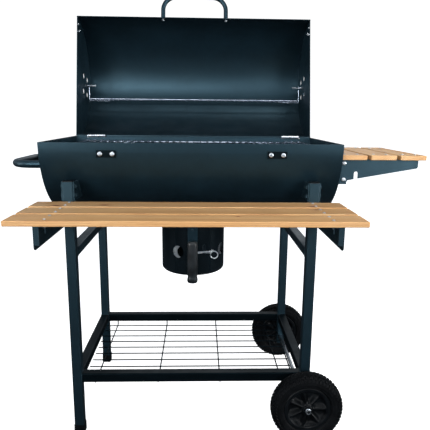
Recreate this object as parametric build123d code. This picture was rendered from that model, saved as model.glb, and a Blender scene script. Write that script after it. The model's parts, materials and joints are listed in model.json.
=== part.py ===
from build123d import *
import os
from math import cos, radians, sin, sqrt

# Barrel charcoal grill. Millimetres, +Z up, +X to the right of the cook, +Y away from the cook.
# While it is drawn, X = 0 is the middle of the barrel, Y = 0 is the barrel's axis and Z = 0 is the floor.
# Every sub-part is then moved together, so the origin ends up under the middle of the overall box.

# ---- driving dimensions: barrel and lid ----------------------------------------------------------
BARREL_HALF_LENGTH = 373.0
BARREL_RADIUS = 190.0
SHEET = 1.5
END_SHEET = 1.5
RIM_Z = 776.0
LID_GAP = 1.0
LID_OPEN_ANGLE = 102.0
ASH_HOLE_RADIUS = 80.0
PIVOT_HEIGHT = 120.0
PIVOT_RADIUS = 3.0
PIVOT_HEAD_RADIUS = 6.5
PIVOT_HEAD_HEIGHT = 4.0
PIVOT_TIP = 36.0
PIVOT_NUT_RADIUS = 5.8
PIVOT_NUT_HEIGHT = 4.5
VENT_CIRCLE = 36.0
VENT_RADIUS = 8.5
VENT_ANGLES = (45, 135, 225, 315)
DAMPER_GAP = 0.35
DAMPER_RADIUS = 54.0
DAMPER_WINDOW_RADIUS = 14.0
DAMPER_TAB_REACH = 16.0
DAMPER_TAB_HALF_WIDTH = 9.0
DAMPER_TAB_INSET = 4.0
DRAIN_RADIUS = 2.6
DRAIN_PLACES = ((22.0, 15.0), (34.0, 34.0), (44.0, 15.0))

# ---- driving dimensions: lid handle and hinges ---------------------------------------------------
LID_HANDLE_X = 101.0
LID_HANDLE_RADIUS = 7.0
LID_HANDLE_WALL = 1.5
LID_HANDLE_REACH = 72.0
LID_HANDLE_HEIGHT = 17.0
LID_HANDLE_BEND = 43.0
LID_HANDLE_STANDOFF = 1.2
LID_SCREW_LENGTH = 18.0
LID_SCREW_HEAD_RADIUS = 5.0
LID_SCREW_HEAD_HEIGHT = 3.0
LID_SCREW_STANDOFF = 0.6
HINGE_X = 308.0
HINGE_LENGTH = 54.0
HINGE_OFFSET = 0.5
HINGE_LEAF_REACH = 24.0
HINGE_LEAF_START = 5.4
HINGE_LEAF_TURN = 0.6
HINGE_NOTCH_MARGIN = 3.0
HINGE_NOTCH_GAP = 0.5
KNUCKLE_RADIUS = 4.5
KNUCKLE_GAP = 0.4
HINGE_PIN_RADIUS = 2.4
HINGE_PIN_OVERHANG = 0.5
HINGE_PIN_HEAD = 1.5
HINGE_PIN_HEAD_RADIUS = 3.6
RUNNING_GAP = 0.05

# ---- driving dimensions: fasteners shared by several places --------------------------------------
BOLT_RADIUS = 3.0
BOLT_HOLE_RADIUS = 3.1
BOLT_HEAD_RADIUS = 5.5
BOLT_HEAD_HEIGHT = 3.4
HEAD_ROUNDING = 0.6
HEAD_OVERLAP = 0.2
SCREW_RADIUS = 2.0
SCREW_HOLE_RADIUS = 2.1
SCREW_HEAD_RADIUS = 3.6
SCREW_HEAD_HEIGHT = 1.9
TIP_OVERHANG = 5.0
DRILL = 12.0

# ---- driving dimensions: stand -------------------------------------------------------------------
TUBE = 25.0
TUBE_WALL = 1.5
TUBE_CORNER = 2.5
TUBE_BORE_CORNER = 1.0
LEG_OUTER_X = 314.0
LEG_OUTER_Y = 208.0
LEG_TOP_Z = 682.0
FOOT_CAP_HEIGHT = 26.0
FOOT_CAP_BASE = 3.0
FOOT_CAP_WALL = 1.5
FOOT_CAP_CORNER = 4.0
FOOT_CAP_CHAMFER = 2.0
PLUG_DEPTH = 6.0
PLUG_CAP = 2.0
LOWER_RAIL_TOP = 176.0
UPPER_RAIL_TOP = 514.0
GUSSET = 3.0
GUSSET_HEIGHT = 46.0
GUSSET_INNER_Y = 118.0
GUSSET_SETBACK = 3.0
GUSSET_BOLT_DROPS = (12.0, 34.0)

# ---- driving dimensions: bottom shelf ------------------------------------------------------------
SHELF_WIRE_RADIUS = 1.7
SHELF_CROSS_RADIUS = 1.9
SHELF_WIRES = 9
SHELF_WIRE_PITCH = 39.6
SHELF_REAR_WIRE = 178.2
SHELF_DROP = 14.0
SHELF_LEFT = -292.0
SHELF_RIGHT = 279.0
SHELF_CROSSES = 4
SHELF_FIRST_CROSS = -260.0
SHELF_CROSS_PITCH = 168.0
SHELF_REAR_BEND = 6.0
SHELF_FRONT_BEND = 4.0
SHELF_FRONT_INSET = 6.0
SHELF_HOOK = 8.0
WIRE_PRESS = 0.5
WIRE_END = 2.0

# ---- driving dimensions: wheels and axle ---------------------------------------------------------
WHEEL_RADIUS = 95.0
WHEEL_WIDTH = 44.0
WHEEL_GAP = 7.0
TYRE_INNER_RADIUS = 59.0
TYRE_SHOULDER = 9.0
RIM_RING = 7.0
RIM_INSET = 5.0
RIM_WEB = 6.0
RIM_WINDOW_RADIUS = 8.5
RIM_WINDOW_CIRCLE = 33.5
SPOKE_COUNT = 7
SPOKE_HALF_WIDTH = 3.0
SPOKE_INSET = 4.0
HUB_RADIUS = 15.0
HUB_OVERHANG = 4.0
AXLE_RADIUS = 5.0
AXLE_HOLE_RADIUS = 5.1
AXLE_OVERHANG = 6.0
SPACER_RADIUS = 8.0
SPACER_GAP = 0.2
SPACER_BITE = 0.5
CAP_RADIUS = 7.5
CAP_GAP = 0.5
CAP_END = 7.5

# ---- driving dimensions: grates and warming rack -------------------------------------------------
GRATE_PITCH = 20.4
GRATE_BARS = 33
GRATE_HALF_DEPTH = 172.0
GRATE_BAR_RADIUS = 2.4
GRATE_SUPPORT_RADIUS = 3.0
GRATE_SUPPORT_INSET = 4.0
GRATE_SUPPORT_OVERHANG = 3.0
GRATE_SEAT = 0.35
GRATE_PRESS = 0.6
LEDGE_DROP = 20.0
LEDGE_X = 209.0
LEDGE_HALF_LENGTH = 22.0
LEDGE_DEPTH = 30.0
LEDGE_PLATE = 2.0
LEDGE_WALL_DROP = 12.0
LEDGE_BOLT_SPACING = 30.0
LEDGE_BOLT_DROP = 27.0
LEDGE_BOLT_LENGTH = 14.0
LEDGE_BOLT_STANDOFF = 0.9
BACKING_HALF_LENGTH = 24.5
BACKING_HALF_HEIGHT = 9.5
BACKING_PLATE = 2.0
BACKING_REACH = 8.0
CHARCOAL_DROP = 112.0
CHARCOAL_PITCH = 26.0
CHARCOAL_BARS = 23
CHARCOAL_SIDE_RADIUS = 3.5
CHARCOAL_BAR_RADIUS = 3.0
CHARCOAL_OVERHANG = 4.0
CHARCOAL_PRESS = 0.8
CHARCOAL_BAR_GAP = 1.0
RACK_HALF_LENGTH = 345.0
RACK_HALF_DEPTH = 45.0
RACK_PITCH = 15.0
RACK_DROP = 50.0
RACK_FRAME_RADIUS = 2.0
RACK_CROSS_RADIUS = 1.25
RACK_FRAME_END = 2.5
RACK_CROSS_END = 1.5
HANGER_RADIUS = 1.5
HANGER_X = 360.0
HANGER_REACH = 70.0
HANGER_TIP = 9.0
HANGER_BEND = 4.0

# ---- driving dimensions: lifting handle ----------------------------------------------------------
HANDLE_Z = 716.0
HANDLE_HALF_SPAN = 120.0
HANDLE_REACH = 95.0
HANDLE_BEND = 58.0
HANDLE_TUBE_RADIUS = 10.0
HANDLE_TUBE_WALL = 1.5
HANDLE_FLANGE = 2.0
HANDLE_FLANGE_LENGTH = 48.0
HANDLE_FLANGE_WIDTH = 24.0
HANDLE_FLANGE_BOLT = 17.0
HANDLE_BOLT_RADIUS = 2.5
HANDLE_BOLT_HOLE_RADIUS = 2.6
HANDLE_BOLT_HEAD_RADIUS = 4.5
HANDLE_BOLT_HEAD_HEIGHT = 2.8
HANDLE_BOLT_TIP = 4.0

# ---- driving dimensions: wooden shelves and their arms -------------------------------------------
SLAT_COUNT = 3
SLAT_THICKNESS = 12.0
SLAT_ROUNDING = 1.8
PLATE = 2.0
FRONT_SLAT_WIDTH = 66.0
FRONT_SLAT_GAP = 13.0
FRONT_SLAT_SCREWS = (0.22, 0.78)
FRONT_SHELF_TOP = 635.0
FRONT_SHELF_HALF = 370.0
FRONT_SHELF_X = -5.0
FRONT_SHELF_SETBACK = 2.0
FRONT_ARM_DEPTH = 52.0
FRONT_ARM_START = 6.0
FRONT_ARM_ROUNDING = 9.0
FRONT_ARM_FLANGE = 30.0
FRONT_ARM_LIP = 10.0
FRONT_ARM_LIP_RISE = 12.0
FRONT_ARM_SLOT_Y = 72.0
FRONT_ARM_SLOT_DROP = 26.0
FRONT_ARM_SLOT_LENGTH = 14.0
FRONT_ARM_SLOT_WIDTH = 6.0
FRONT_SCREW_INSET = 20.0
SIDE_SLAT_WIDTH = 66.0
SIDE_SLAT_GAP = 10.0
SIDE_SLAT_SCREWS = (0.25, 0.75)
SIDE_SHELF_TOP = 748.0
SIDE_SHELF_HALF = 162.0
SIDE_SHELF_START = 4.0
SIDE_ARM_Y = 140.0
SIDE_ARM_START = 4.0
SIDE_ARM_REACH = 206.0
SIDE_ARM_DEEP = 64.0
SIDE_ARM_SHALLOW = 22.0
SIDE_ARM_ROOT = 24.0
SIDE_ARM_STEP = 10.0
SIDE_ARM_STEP_RUN = 6.0
SIDE_ARM_ROUNDING = 6.0
SIDE_ARM_FLANGE = 24.0
SIDE_SCREW_INSET = 13.0
SIDE_BOLT_X = 17.0
SIDE_BOLT_DROPS = (10.0, 52.0)
NOTCH_X = 49.0
NOTCH_DROP = 36.0
NOTCH_RADIUS = 5.0
NOTCH_LENGTH = 54.0
ANGLE_HEIGHT = 62.0
ANGLE_GAP = 0.5
ANGLE_WING = 26.0
ANGLE_FOOT = 22.0

# ---- driving dimensions: ash pot -----------------------------------------------------------------
POT_RADIUS = 90.0
POT_WALL = 1.5
POT_TOP = 578.0
POT_BOTTOM = 404.0
POT_ROUNDING = 11.0
POT_HOLE_Z = 472.0
POT_HOLE_RADIUS = 17.0
POT_HOLE_ANGLE = -27.0
POT_SLOT_START = 8.0
POT_SLOT_SWEEP = 33.0
POT_SLOT_HEIGHT = 5.6
POT_SLOT_DEPTH = 12.0
COLLAR_GAP = 0.6
COLLAR_WALL = 2.0
COLLAR_OVERLAP = 22.0
COLLAR_TOP = 100.0
POT_RING_LEAD = 9.0
POT_RING_GAP = 0.35
POT_RING_WALL = 1.2
POT_RING_MARGIN = 7.0
LEVER_ANGLE = 20.0
LEVER_RADIUS = 1.6
LEVER_BEND = 4.0
LEVER_STUB = 6.0
LEVER_ROOT = 0.8
LEVER_END = (49.5, -114.0, 5.0)
LOOP_RADIUS = 10.0
LOOP_DROP = 4.0
GRIP_HALF_WIDTH = 15.0
GRIP_DEPTH = 16.0
GRIP_STANDOFF = 20.0
GRIP_BELOW = 10.0
GRIP_ABOVE = 39.0
GRIP_ROUNDING = 6.5
GRIP_ARM_HALF_WIDTH = 8.0
GRIP_ARM_HALF_THICKNESS = 2.0
GRIP_ARM_LOW = 18.0
GRIP_ARM_HIGH = 26.0
GRIP_ARM_BITE = 6.0

# ---- sizes worked out from them -----------------------------------------------------------------
ENDS = (-1, 1)
LEG_CENTRE_X = LEG_OUTER_X - TUBE / 2
LEG_CENTRE_Y = LEG_OUTER_Y - TUBE / 2
LEG_INNER_X = LEG_OUTER_X - TUBE
LEG_INNER_Y = LEG_OUTER_Y - TUBE
AXLE_Z = WHEEL_RADIUS
RIGHT_LEG_BOTTOM = AXLE_Z - TUBE
WHEEL_INNER_Y = LEG_OUTER_Y + WHEEL_GAP
WHEEL_OUTER_Y = WHEEL_INNER_Y + WHEEL_WIDTH
HINGE_Y = BARREL_RADIUS + HINGE_OFFSET
HINGE_Z = RIM_Z + LID_GAP / 2
LID_CENTRE_Z = RIM_Z + LID_GAP
PIVOT_Z = LID_CENTRE_Z + PIVOT_HEIGHT
LEDGE_TOP = RIM_Z - LEDGE_DROP
LEDGE_BOLT_Z = RIM_Z - LEDGE_BOLT_DROP
FRONT_SHELF_REAR = -LEG_OUTER_Y - FRONT_SHELF_SETBACK
FRONT_SHELF_DEPTH = SLAT_COUNT * FRONT_SLAT_WIDTH + (SLAT_COUNT - 1) * FRONT_SLAT_GAP
FRONT_SHELF_FRONT = FRONT_SHELF_REAR - FRONT_SHELF_DEPTH
FRONT_ARM_TOP = FRONT_SHELF_TOP - SLAT_THICKNESS
SCREW_X = LEG_OUTER_X - FRONT_SCREW_INSET
SIDE_SHELF_X = BARREL_HALF_LENGTH + SIDE_SHELF_START
SIDE_ARM_TOP = SIDE_SHELF_TOP - SLAT_THICKNESS
SIDE_ARM_X = BARREL_HALF_LENGTH + SIDE_ARM_START


# ---- helpers ------------------------------------------------------------------------------------
def block(x0, x1, y0, y1, z0, z1):
    """A box between two corners, given in any order."""
    low = Align.MIN
    size = (abs(x1 - x0), abs(y1 - y0), abs(z1 - z0))
    return Pos(min(x0, x1), min(y0, y1), min(z0, z1)) * Box(*size, align=(low, low, low))


def rod(start, end, radius):
    """A straight round bar from start to end."""
    a = Vector(*start)
    b = Vector(*end)
    plane = Plane(origin=a, z_dir=b - a)
    middle = Align.CENTER
    return plane * Cylinder(radius, (b - a).length, align=(middle, middle, Align.MIN))


def drill_x(x, y, z, radius, reach=DRILL):
    """A round cutter along X through a point."""
    return rod((x - reach, y, z), (x + reach, y, z), radius)


def drill_y(x, y, z, radius, reach=DRILL):
    """A round cutter along Y through a point."""
    return rod((x, y - reach, z), (x, y + reach, z), radius)


def drill_z(x, y, z, radius, reach=DRILL):
    """A round cutter along Z through a point."""
    return rod((x, y, z - reach), (x, y, z + reach), radius)


def bent_rod(points, bend, radius):
    """A round bar through points, with the same bend radius at each corner."""
    path = FilletPolyline(*points, radius=bend)
    section = Plane(path @ 0, z_dir=path % 0) * Circle(radius)
    return sweep(section, path=path)


def bent_tube(points, bend, radius, wall):
    """A hollow round tube through points."""
    path = FilletPolyline(*points, radius=bend)
    section = Plane(path @ 0, z_dir=path % 0) * (Circle(radius) - Circle(radius - wall))
    return sweep(section, path=path)


def fuse(pieces):
    """One solid from pieces that meet."""
    return pieces[0] + pieces[1:]


def group(pieces):
    """Several solids kept apart in one sub-part."""
    solids = []
    for piece in pieces:
        solids.extend(piece.solids())
    return Compound(children=solids)


def barrel_cylinder(radius):
    """A solid cylinder on the barrel's axis, longer than the barrel."""
    length = 3 * BARREL_HALF_LENGTH
    return Pos(0, 0, RIM_Z) * Rot(0, 90, 0) * Cylinder(radius, length)


def bolt(head, direction, length, shank=BOLT_RADIUS, head_radius=BOLT_HEAD_RADIUS,
         head_height=BOLT_HEAD_HEIGHT):
    """A dome-headed bolt: head is the point under the head, direction points from head to tip."""
    h = Vector(*head)
    d = Vector(*direction).normalized()
    under = Plane(origin=h, z_dir=d * -1)
    low = (Align.CENTER, Align.CENTER, Align.MIN)
    cap = Cylinder(head_radius, head_height, align=low)
    cap = fillet(cap.edges().group_by(Axis.Z)[-1], head_height * HEAD_ROUNDING)
    return under * cap + rod(h - d * HEAD_OVERLAP, h + d * length, shank)


def square_tube(length):
    """A square tube along +Z with rounded outer corners, centred on Z."""
    bore = TUBE - 2 * TUBE_WALL
    outer = RectangleRounded(TUBE, TUBE, TUBE_CORNER)
    inner = RectangleRounded(bore, bore, TUBE_BORE_CORNER)
    return extrude(outer - inner, length)


# ---- stand --------------------------------------------------------------------------------------
def bracket_bolt_heights():
    """Heights of the two bolts that hold each leg to its bracket."""
    return [LEG_TOP_Z - drop for drop in GUSSET_BOLT_DROPS]


def leg(side, depth):
    """A square tube leg; the right pair is short and carries the axle."""
    bottom = FOOT_CAP_BASE if side < 0 else RIGHT_LEG_BOTTOM
    x = side * LEG_CENTRE_X
    y = depth * LEG_CENTRE_Y
    body = Pos(x, y, bottom) * square_tube(LEG_TOP_Z - bottom)
    cuts = [drill_x(x, y, z, BOLT_HOLE_RADIUS, TUBE) for z in bracket_bolt_heights()]
    if side > 0:
        cuts.append(drill_y(x, y, AXLE_Z, AXLE_HOLE_RADIUS, TUBE))
    return body - cuts


def foot_caps():
    """Plastic caps that the two left legs stand on."""
    caps = []
    width = TUBE + 2 * FOOT_CAP_WALL
    outer = RectangleRounded(width, width, FOOT_CAP_CORNER)
    for depth in ENDS:
        cup = extrude(outer, FOOT_CAP_HEIGHT)
        cup = chamfer(cup.edges().group_by(Axis.Z)[0], FOOT_CAP_CHAMFER)
        socket = extrude(RectangleRounded(TUBE, TUBE, TUBE_CORNER), FOOT_CAP_HEIGHT)
        cup = cup - Pos(0, 0, FOOT_CAP_BASE) * socket
        caps.append(Pos(-LEG_CENTRE_X, depth * LEG_CENTRE_Y, 0) * cup)
    return group(caps)


def leg_plugs():
    """Plastic plugs that close the open tops of the legs and the bottoms of the right pair."""
    plugs = []
    stem = TUBE - 2 * TUBE_WALL
    cap = extrude(RectangleRounded(TUBE, TUBE, TUBE_CORNER), PLUG_CAP)
    pin = Pos(0, 0, -PLUG_DEPTH) * extrude(RectangleRounded(stem, stem, TUBE_BORE_CORNER), PLUG_DEPTH)
    for side in ENDS:
        for depth in ENDS:
            place = Pos(side * LEG_CENTRE_X, depth * LEG_CENTRE_Y, 0)
            plugs.append(place * Pos(0, 0, LEG_TOP_Z) * (cap + pin))
            if side > 0:
                plugs.append(place * Pos(0, 0, RIGHT_LEG_BOTTOM) * Rot(180, 0, 0) * (cap + pin))
    return group(plugs)


def rail_along_x(depth):
    """A lower rail between a left and a right leg, with holes for the wire shelf."""
    z = LOWER_RAIL_TOP - TUBE / 2
    y = depth * LEG_CENTRE_Y
    body = Pos(-LEG_INNER_X, y, z) * Rot(0, 90, 0) * square_tube(2 * LEG_INNER_X)
    hole = SHELF_CROSS_RADIUS + 2 * RUNNING_GAP
    holes = []
    for x in shelf_cross_places():
        if depth > 0:
            holes.append(rod((x, y, z - TUBE), (x, y, z), hole))
        else:
            holes.append(rod((x, y, z), (x, y + TUBE, z), hole))
    return body - holes


def rail_along_y(side, top):
    """A side rail between a front and a rear leg."""
    place = Pos(side * LEG_CENTRE_X, -LEG_INNER_Y, top - TUBE / 2)
    return place * Rot(-90, 0, 0) * square_tube(2 * LEG_INNER_Y)


def shelf_cross_places():
    """X of the cross wires of the bottom shelf."""
    return [SHELF_FIRST_CROSS + SHELF_CROSS_PITCH * i for i in range(SHELF_CROSSES)]


def shelf_cross_wire(x, cross_z):
    """A cross wire that hooks up into the rear rail and steps up into the front rail's inner face."""
    rail_z = LOWER_RAIL_TOP - TUBE / 2
    front = -LEG_INNER_Y + SHELF_FRONT_INSET
    hook_z = LOWER_RAIL_TOP - TUBE + SHELF_HOOK
    path = [(x, LEG_CENTRE_Y, hook_z), (x, LEG_CENTRE_Y, cross_z), (x, front, cross_z)]
    rear = bent_rod(path, SHELF_REAR_BEND, SHELF_CROSS_RADIUS)
    path = [(x, 0, cross_z), (x, front, cross_z), (x, front, rail_z), (x, -LEG_INNER_Y - SHELF_HOOK, rail_z)]
    return rear + bent_rod(path, SHELF_FRONT_BEND, SHELF_CROSS_RADIUS)


def wire_shelf():
    """Bottom shelf of welded wire that hangs between the front and rear rails."""
    long_z = LOWER_RAIL_TOP - TUBE - SHELF_DROP
    cross_z = long_z - SHELF_WIRE_RADIUS - SHELF_CROSS_RADIUS + WIRE_PRESS
    last = SHELF_REAR_WIRE - SHELF_WIRE_PITCH * (SHELF_WIRES - 1)
    wires = [shelf_cross_wire(x, cross_z) for x in shelf_cross_places()]
    for i in range(SHELF_WIRES):
        y = SHELF_REAR_WIRE - SHELF_WIRE_PITCH * i
        wires.append(rod((SHELF_LEFT, y, long_z), (SHELF_RIGHT + WIRE_END, y, long_z), SHELF_WIRE_RADIUS))
    start = (SHELF_RIGHT, last - WIRE_END, cross_z)
    end = (SHELF_RIGHT, SHELF_REAR_WIRE + WIRE_END, cross_z)
    wires.append(rod(start, end, SHELF_CROSS_RADIUS))
    return fuse(wires)


def leg_brackets():
    """Pairs of gusset plates, welded to the barrel, that hold the top of each leg."""
    plates = []
    for side in ENDS:
        for depth in ENDS:
            y = depth * LEG_CENTRE_Y
            for flank in ENDS:
                inner = side * LEG_CENTRE_X + flank * TUBE / 2
                outer = inner + flank * GUSSET
                near = depth * (LEG_OUTER_Y - GUSSET_SETBACK)
                gusset = block(inner, outer, near, depth * GUSSET_INNER_Y, LEG_TOP_Z - GUSSET_HEIGHT, LEG_TOP_Z)
                gusset = gusset - barrel_cylinder(BARREL_RADIUS)
                holes = [drill_x(inner, y, z, BOLT_HOLE_RADIUS, DRILL / 2) for z in bracket_bolt_heights()]
                plates.append(gusset - holes)
    return group(plates)


def frame_bolts():
    """Black bolts through the legs and their brackets, and at the lifting handle's flanges."""
    bolts = []
    length = TUBE + 2 * GUSSET + TIP_OVERHANG
    for side in ENDS:
        for depth in ENDS:
            for z in bracket_bolt_heights():
                head = (side * (LEG_OUTER_X + GUSSET), depth * LEG_CENTRE_Y, z)
                bolts.append(bolt(head, (-side, 0, 0), length))
    length = HANDLE_FLANGE + END_SHEET + HANDLE_BOLT_TIP
    size = (HANDLE_BOLT_RADIUS, HANDLE_BOLT_HEAD_RADIUS, HANDLE_BOLT_HEAD_HEIGHT)
    for y, z in handle_bolt_places():
        bolts.append(bolt((-BARREL_HALF_LENGTH - HANDLE_FLANGE, y, z), (1, 0, 0), length, *size))
    return group(bolts)


def side_arm_bolts():
    """Bright bolts that join the side shelf's arms to their angles."""
    bolts = []
    for depth in ENDS:
        for x, z in side_bolt_places():
            head = (x, depth * (SIDE_ARM_Y + PLATE), z)
            bolts.append(bolt(head, (0, -depth, 0), 2 * PLATE + TIP_OVERHANG))
    return group(bolts)


# ---- wheels -------------------------------------------------------------------------------------
def wheel_place(depth):
    """Moves a wheel drawn along +Z, inner face at zero, to its end of the axle."""
    turn = Rot(90, 0, 0) if depth < 0 else Rot(-90, 0, 0)
    return Pos(LEG_CENTRE_X, depth * WHEEL_INNER_Y, AXLE_Z) * turn


def tyre(depth):
    """A chunky rubber tyre."""
    height = WHEEL_RADIUS - TYRE_INNER_RADIUS
    profile = RectangleRounded(height, WHEEL_WIDTH, TYRE_SHOULDER)
    profile = Plane.XZ * Pos(TYRE_INNER_RADIUS + height / 2, WHEEL_WIDTH / 2) * profile
    return wheel_place(depth) * revolve(profile, Axis.Z)


def rim_web(ring_width, ring_inner):
    """The wheel centre's web, with a round window between each two spokes."""
    low = (Align.CENTER, Align.CENTER, Align.MIN)
    web = Pos(0, 0, (ring_width - RIM_WEB) / 2) * Cylinder(ring_inner + 1, RIM_WEB, align=low)
    windows = []
    for i in range(SPOKE_COUNT):
        turn = Rot(0, 0, 360.0 * (i + 0.5) / SPOKE_COUNT)
        window = Pos(RIM_WINDOW_CIRCLE, 0, 0) * Cylinder(RIM_WINDOW_RADIUS, ring_width, align=low)
        windows.append(turn * window)
    return web - windows


def rim(depth):
    """A spoked plastic wheel centre with a plain bearing bore."""
    low = (Align.CENTER, Align.CENTER, Align.MIN)
    ring_inner = TYRE_INNER_RADIUS - RIM_RING
    ring_width = WHEEL_WIDTH - 2 * RIM_INSET
    ring = Cylinder(TYRE_INNER_RADIUS, ring_width, align=low) - Cylinder(ring_inner, ring_width, align=low)
    spokes = []
    for i in range(SPOKE_COUNT):
        spoke = block(HUB_RADIUS - 2, ring_inner + 1, -SPOKE_HALF_WIDTH, SPOKE_HALF_WIDTH,
                      SPOKE_INSET, ring_width - SPOKE_INSET)
        spokes.append(Rot(0, 0, 360.0 * i / SPOKE_COUNT) * spoke)
    hub = Pos(0, 0, -HUB_OVERHANG) * Cylinder(HUB_RADIUS, ring_width + 2 * HUB_OVERHANG, align=low)
    bore = Pos(0, 0, -WHEEL_WIDTH) * Cylinder(AXLE_RADIUS + RUNNING_GAP, 3 * WHEEL_WIDTH, align=low)
    body = fuse([ring, rim_web(ring_width, ring_inner), hub] + spokes) - bore
    return wheel_place(depth) * Pos(0, 0, RIM_INSET) * body


def axle():
    """A steel rod through the right legs, with a spacer beside each leg."""
    end = WHEEL_OUTER_Y + AXLE_OVERHANG
    pieces = [rod((LEG_CENTRE_X, -end, AXLE_Z), (LEG_CENTRE_X, end, AXLE_Z), AXLE_RADIUS)]
    for depth in ENDS:
        a = (LEG_CENTRE_X, depth * (LEG_OUTER_Y + SPACER_GAP), AXLE_Z)
        b = (LEG_CENTRE_X, depth * (WHEEL_INNER_Y + SPACER_BITE), AXLE_Z)
        pieces.append(rod(a, b, SPACER_RADIUS))
    return fuse(pieces)


def axle_caps():
    """Push-on steel caps that keep the wheels on the axle."""
    caps = []
    for depth in ENDS:
        a = (LEG_CENTRE_X, depth * (WHEEL_OUTER_Y + CAP_GAP), AXLE_Z)
        b = (LEG_CENTRE_X, depth * (WHEEL_OUTER_Y + CAP_END), AXLE_Z)
        bore_end = (LEG_CENTRE_X, depth * (WHEEL_OUTER_Y + AXLE_OVERHANG), AXLE_Z)
        caps.append(rod(a, b, CAP_RADIUS) - rod(a, bore_end, AXLE_RADIUS))
    return group(caps)


# ---- barrel -------------------------------------------------------------------------------------
def half_ring(outer, inner, upward):
    """Half of a flat ring, above or below its diameter."""
    half = Pos(0, upward * outer) * Rectangle(3 * outer, 2 * outer)
    return (Circle(outer) - Circle(inner)) & half


def half_disc(radius, upward):
    """Half of a disc, above or below its diameter."""
    half = Pos(0, upward * radius) * Rectangle(3 * radius, 2 * radius)
    return Circle(radius) & half


def across(x, y, z):
    """A drawing plane that faces +X, with its own x along +Y and its own y along +Z."""
    return Plane(origin=(x, y, z), x_dir=(0, 1, 0), z_dir=(1, 0, 0))


def hinge_notches():
    """Cutters that make room for the hinge knuckles in the rear rims."""
    cutters = []
    for side in ENDS:
        reach = HINGE_LENGTH / 2 + HINGE_NOTCH_MARGIN
        cutters.append(drill_x(side * HINGE_X, HINGE_Y, HINGE_Z, KNUCKLE_RADIUS + HINGE_NOTCH_GAP, reach))
    return cutters


def ledge_bolt_places(side):
    """X of the two bolts that hold one grate ledge."""
    return [side * LEDGE_X + step * LEDGE_BOLT_SPACING / 2 for step in ENDS]


def ledge_drills(side, depth):
    """Cutters for the bolts of one grate ledge."""
    y = depth * BARREL_RADIUS
    return [drill_y(x, y, LEDGE_BOLT_Z, BOLT_HOLE_RADIUS, LEDGE_DEPTH) for x in ledge_bolt_places(side)]


def firebox_shell():
    """The lower half barrel, with the ash hole, the hinge notches and the ledge bolt holes."""
    profile = half_ring(BARREL_RADIUS, BARREL_RADIUS - SHEET, -1)
    shell = extrude(across(-BARREL_HALF_LENGTH, 0, RIM_Z) * profile, 2 * BARREL_HALF_LENGTH)
    cuts = [rod((0, 0, RIM_Z - BARREL_RADIUS - DRILL), (0, 0, RIM_Z - COLLAR_TOP), ASH_HOLE_RADIUS)]
    for side in ENDS:
        for depth in ENDS:
            cuts.extend(ledge_drills(side, depth))
    return shell - cuts - hinge_notches()


def handle_bolt_places():
    """Y and Z of the bolts that hold the lifting handle."""
    places = []
    for depth in ENDS:
        for step in ENDS:
            places.append((depth * HANDLE_HALF_SPAN, HANDLE_Z + step * HANDLE_FLANGE_BOLT))
    return places


def firebox_end(side):
    """A half-round end panel of the lower barrel."""
    start = BARREL_HALF_LENGTH - END_SHEET if side > 0 else -BARREL_HALF_LENGTH
    panel = extrude(across(start, 0, RIM_Z) * half_disc(BARREL_RADIUS - SHEET, -1), END_SHEET)
    if side > 0:
        return panel
    return panel - [drill_x(start, y, z, HANDLE_BOLT_HOLE_RADIUS) for y, z in handle_bolt_places()]


def pot_collar():
    """A short collar welded under the ash hole; the ash pot pushes up over it."""
    outer = POT_RADIUS - POT_WALL - COLLAR_GAP
    bottom = POT_TOP - COLLAR_OVERLAP
    top = RIM_Z - COLLAR_TOP
    ring = rod((0, 0, bottom), (0, 0, top), outer)
    ring = ring - rod((0, 0, bottom - DRILL), (0, 0, top + DRILL), outer - COLLAR_WALL)
    return ring - barrel_cylinder(BARREL_RADIUS)


# ---- grates -------------------------------------------------------------------------------------
def ledge_plates():
    """Black backing plates under the ledge bolts, outside the barrel."""
    skin = barrel_cylinder(BARREL_RADIUS + BACKING_PLATE) - barrel_cylinder(BARREL_RADIUS)
    plates = []
    for side in ENDS:
        for depth in ENDS:
            x = side * LEDGE_X
            body = block(x - BACKING_HALF_LENGTH, x + BACKING_HALF_LENGTH,
                         depth * (BARREL_RADIUS + BACKING_PLATE), depth * (BARREL_RADIUS - BACKING_REACH),
                         LEDGE_BOLT_Z - BACKING_HALF_HEIGHT, LEDGE_BOLT_Z + BACKING_HALF_HEIGHT)
            plates.append((body & skin) - ledge_drills(side, depth))
    return group(plates)


def grate_ledges():
    """Zinc angles inside the barrel that the cooking grate sits on."""
    inside = BARREL_RADIUS - SHEET
    skin = barrel_cylinder(inside)
    core = barrel_cylinder(inside - LEDGE_PLATE)
    angles = []
    for side in ENDS:
        for depth in ENDS:
            x0 = side * LEDGE_X - LEDGE_HALF_LENGTH
            x1 = side * LEDGE_X + LEDGE_HALF_LENGTH
            far = depth * (BARREL_RADIUS + TIP_OVERHANG)
            near = depth * (inside - LEDGE_DEPTH)
            middle = depth * (BARREL_RADIUS - LEDGE_WALL_DROP)
            shelf = block(x0, x1, near, far, LEDGE_TOP - LEDGE_PLATE, LEDGE_TOP)
            wall = block(x0, x1, middle, far, LEDGE_BOLT_Z - LEDGE_WALL_DROP, LEDGE_TOP)
            angle = (shelf & skin) + ((wall & skin) - core)
            angles.append(angle - ledge_drills(side, depth))
    return group(angles)


def ledge_bolts():
    """Bright pan-head bolts through the backing plates, the barrel wall and the grate ledges."""
    bolts = []
    surface = sqrt((BARREL_RADIUS + BACKING_PLATE) ** 2 - LEDGE_BOLT_DROP ** 2) + LEDGE_BOLT_STANDOFF
    for side in ENDS:
        for depth in ENDS:
            for x in ledge_bolt_places(side):
                bolts.append(bolt((x, depth * surface, LEDGE_BOLT_Z), (0, -depth, 0), LEDGE_BOLT_LENGTH))
    return group(bolts)


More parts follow.
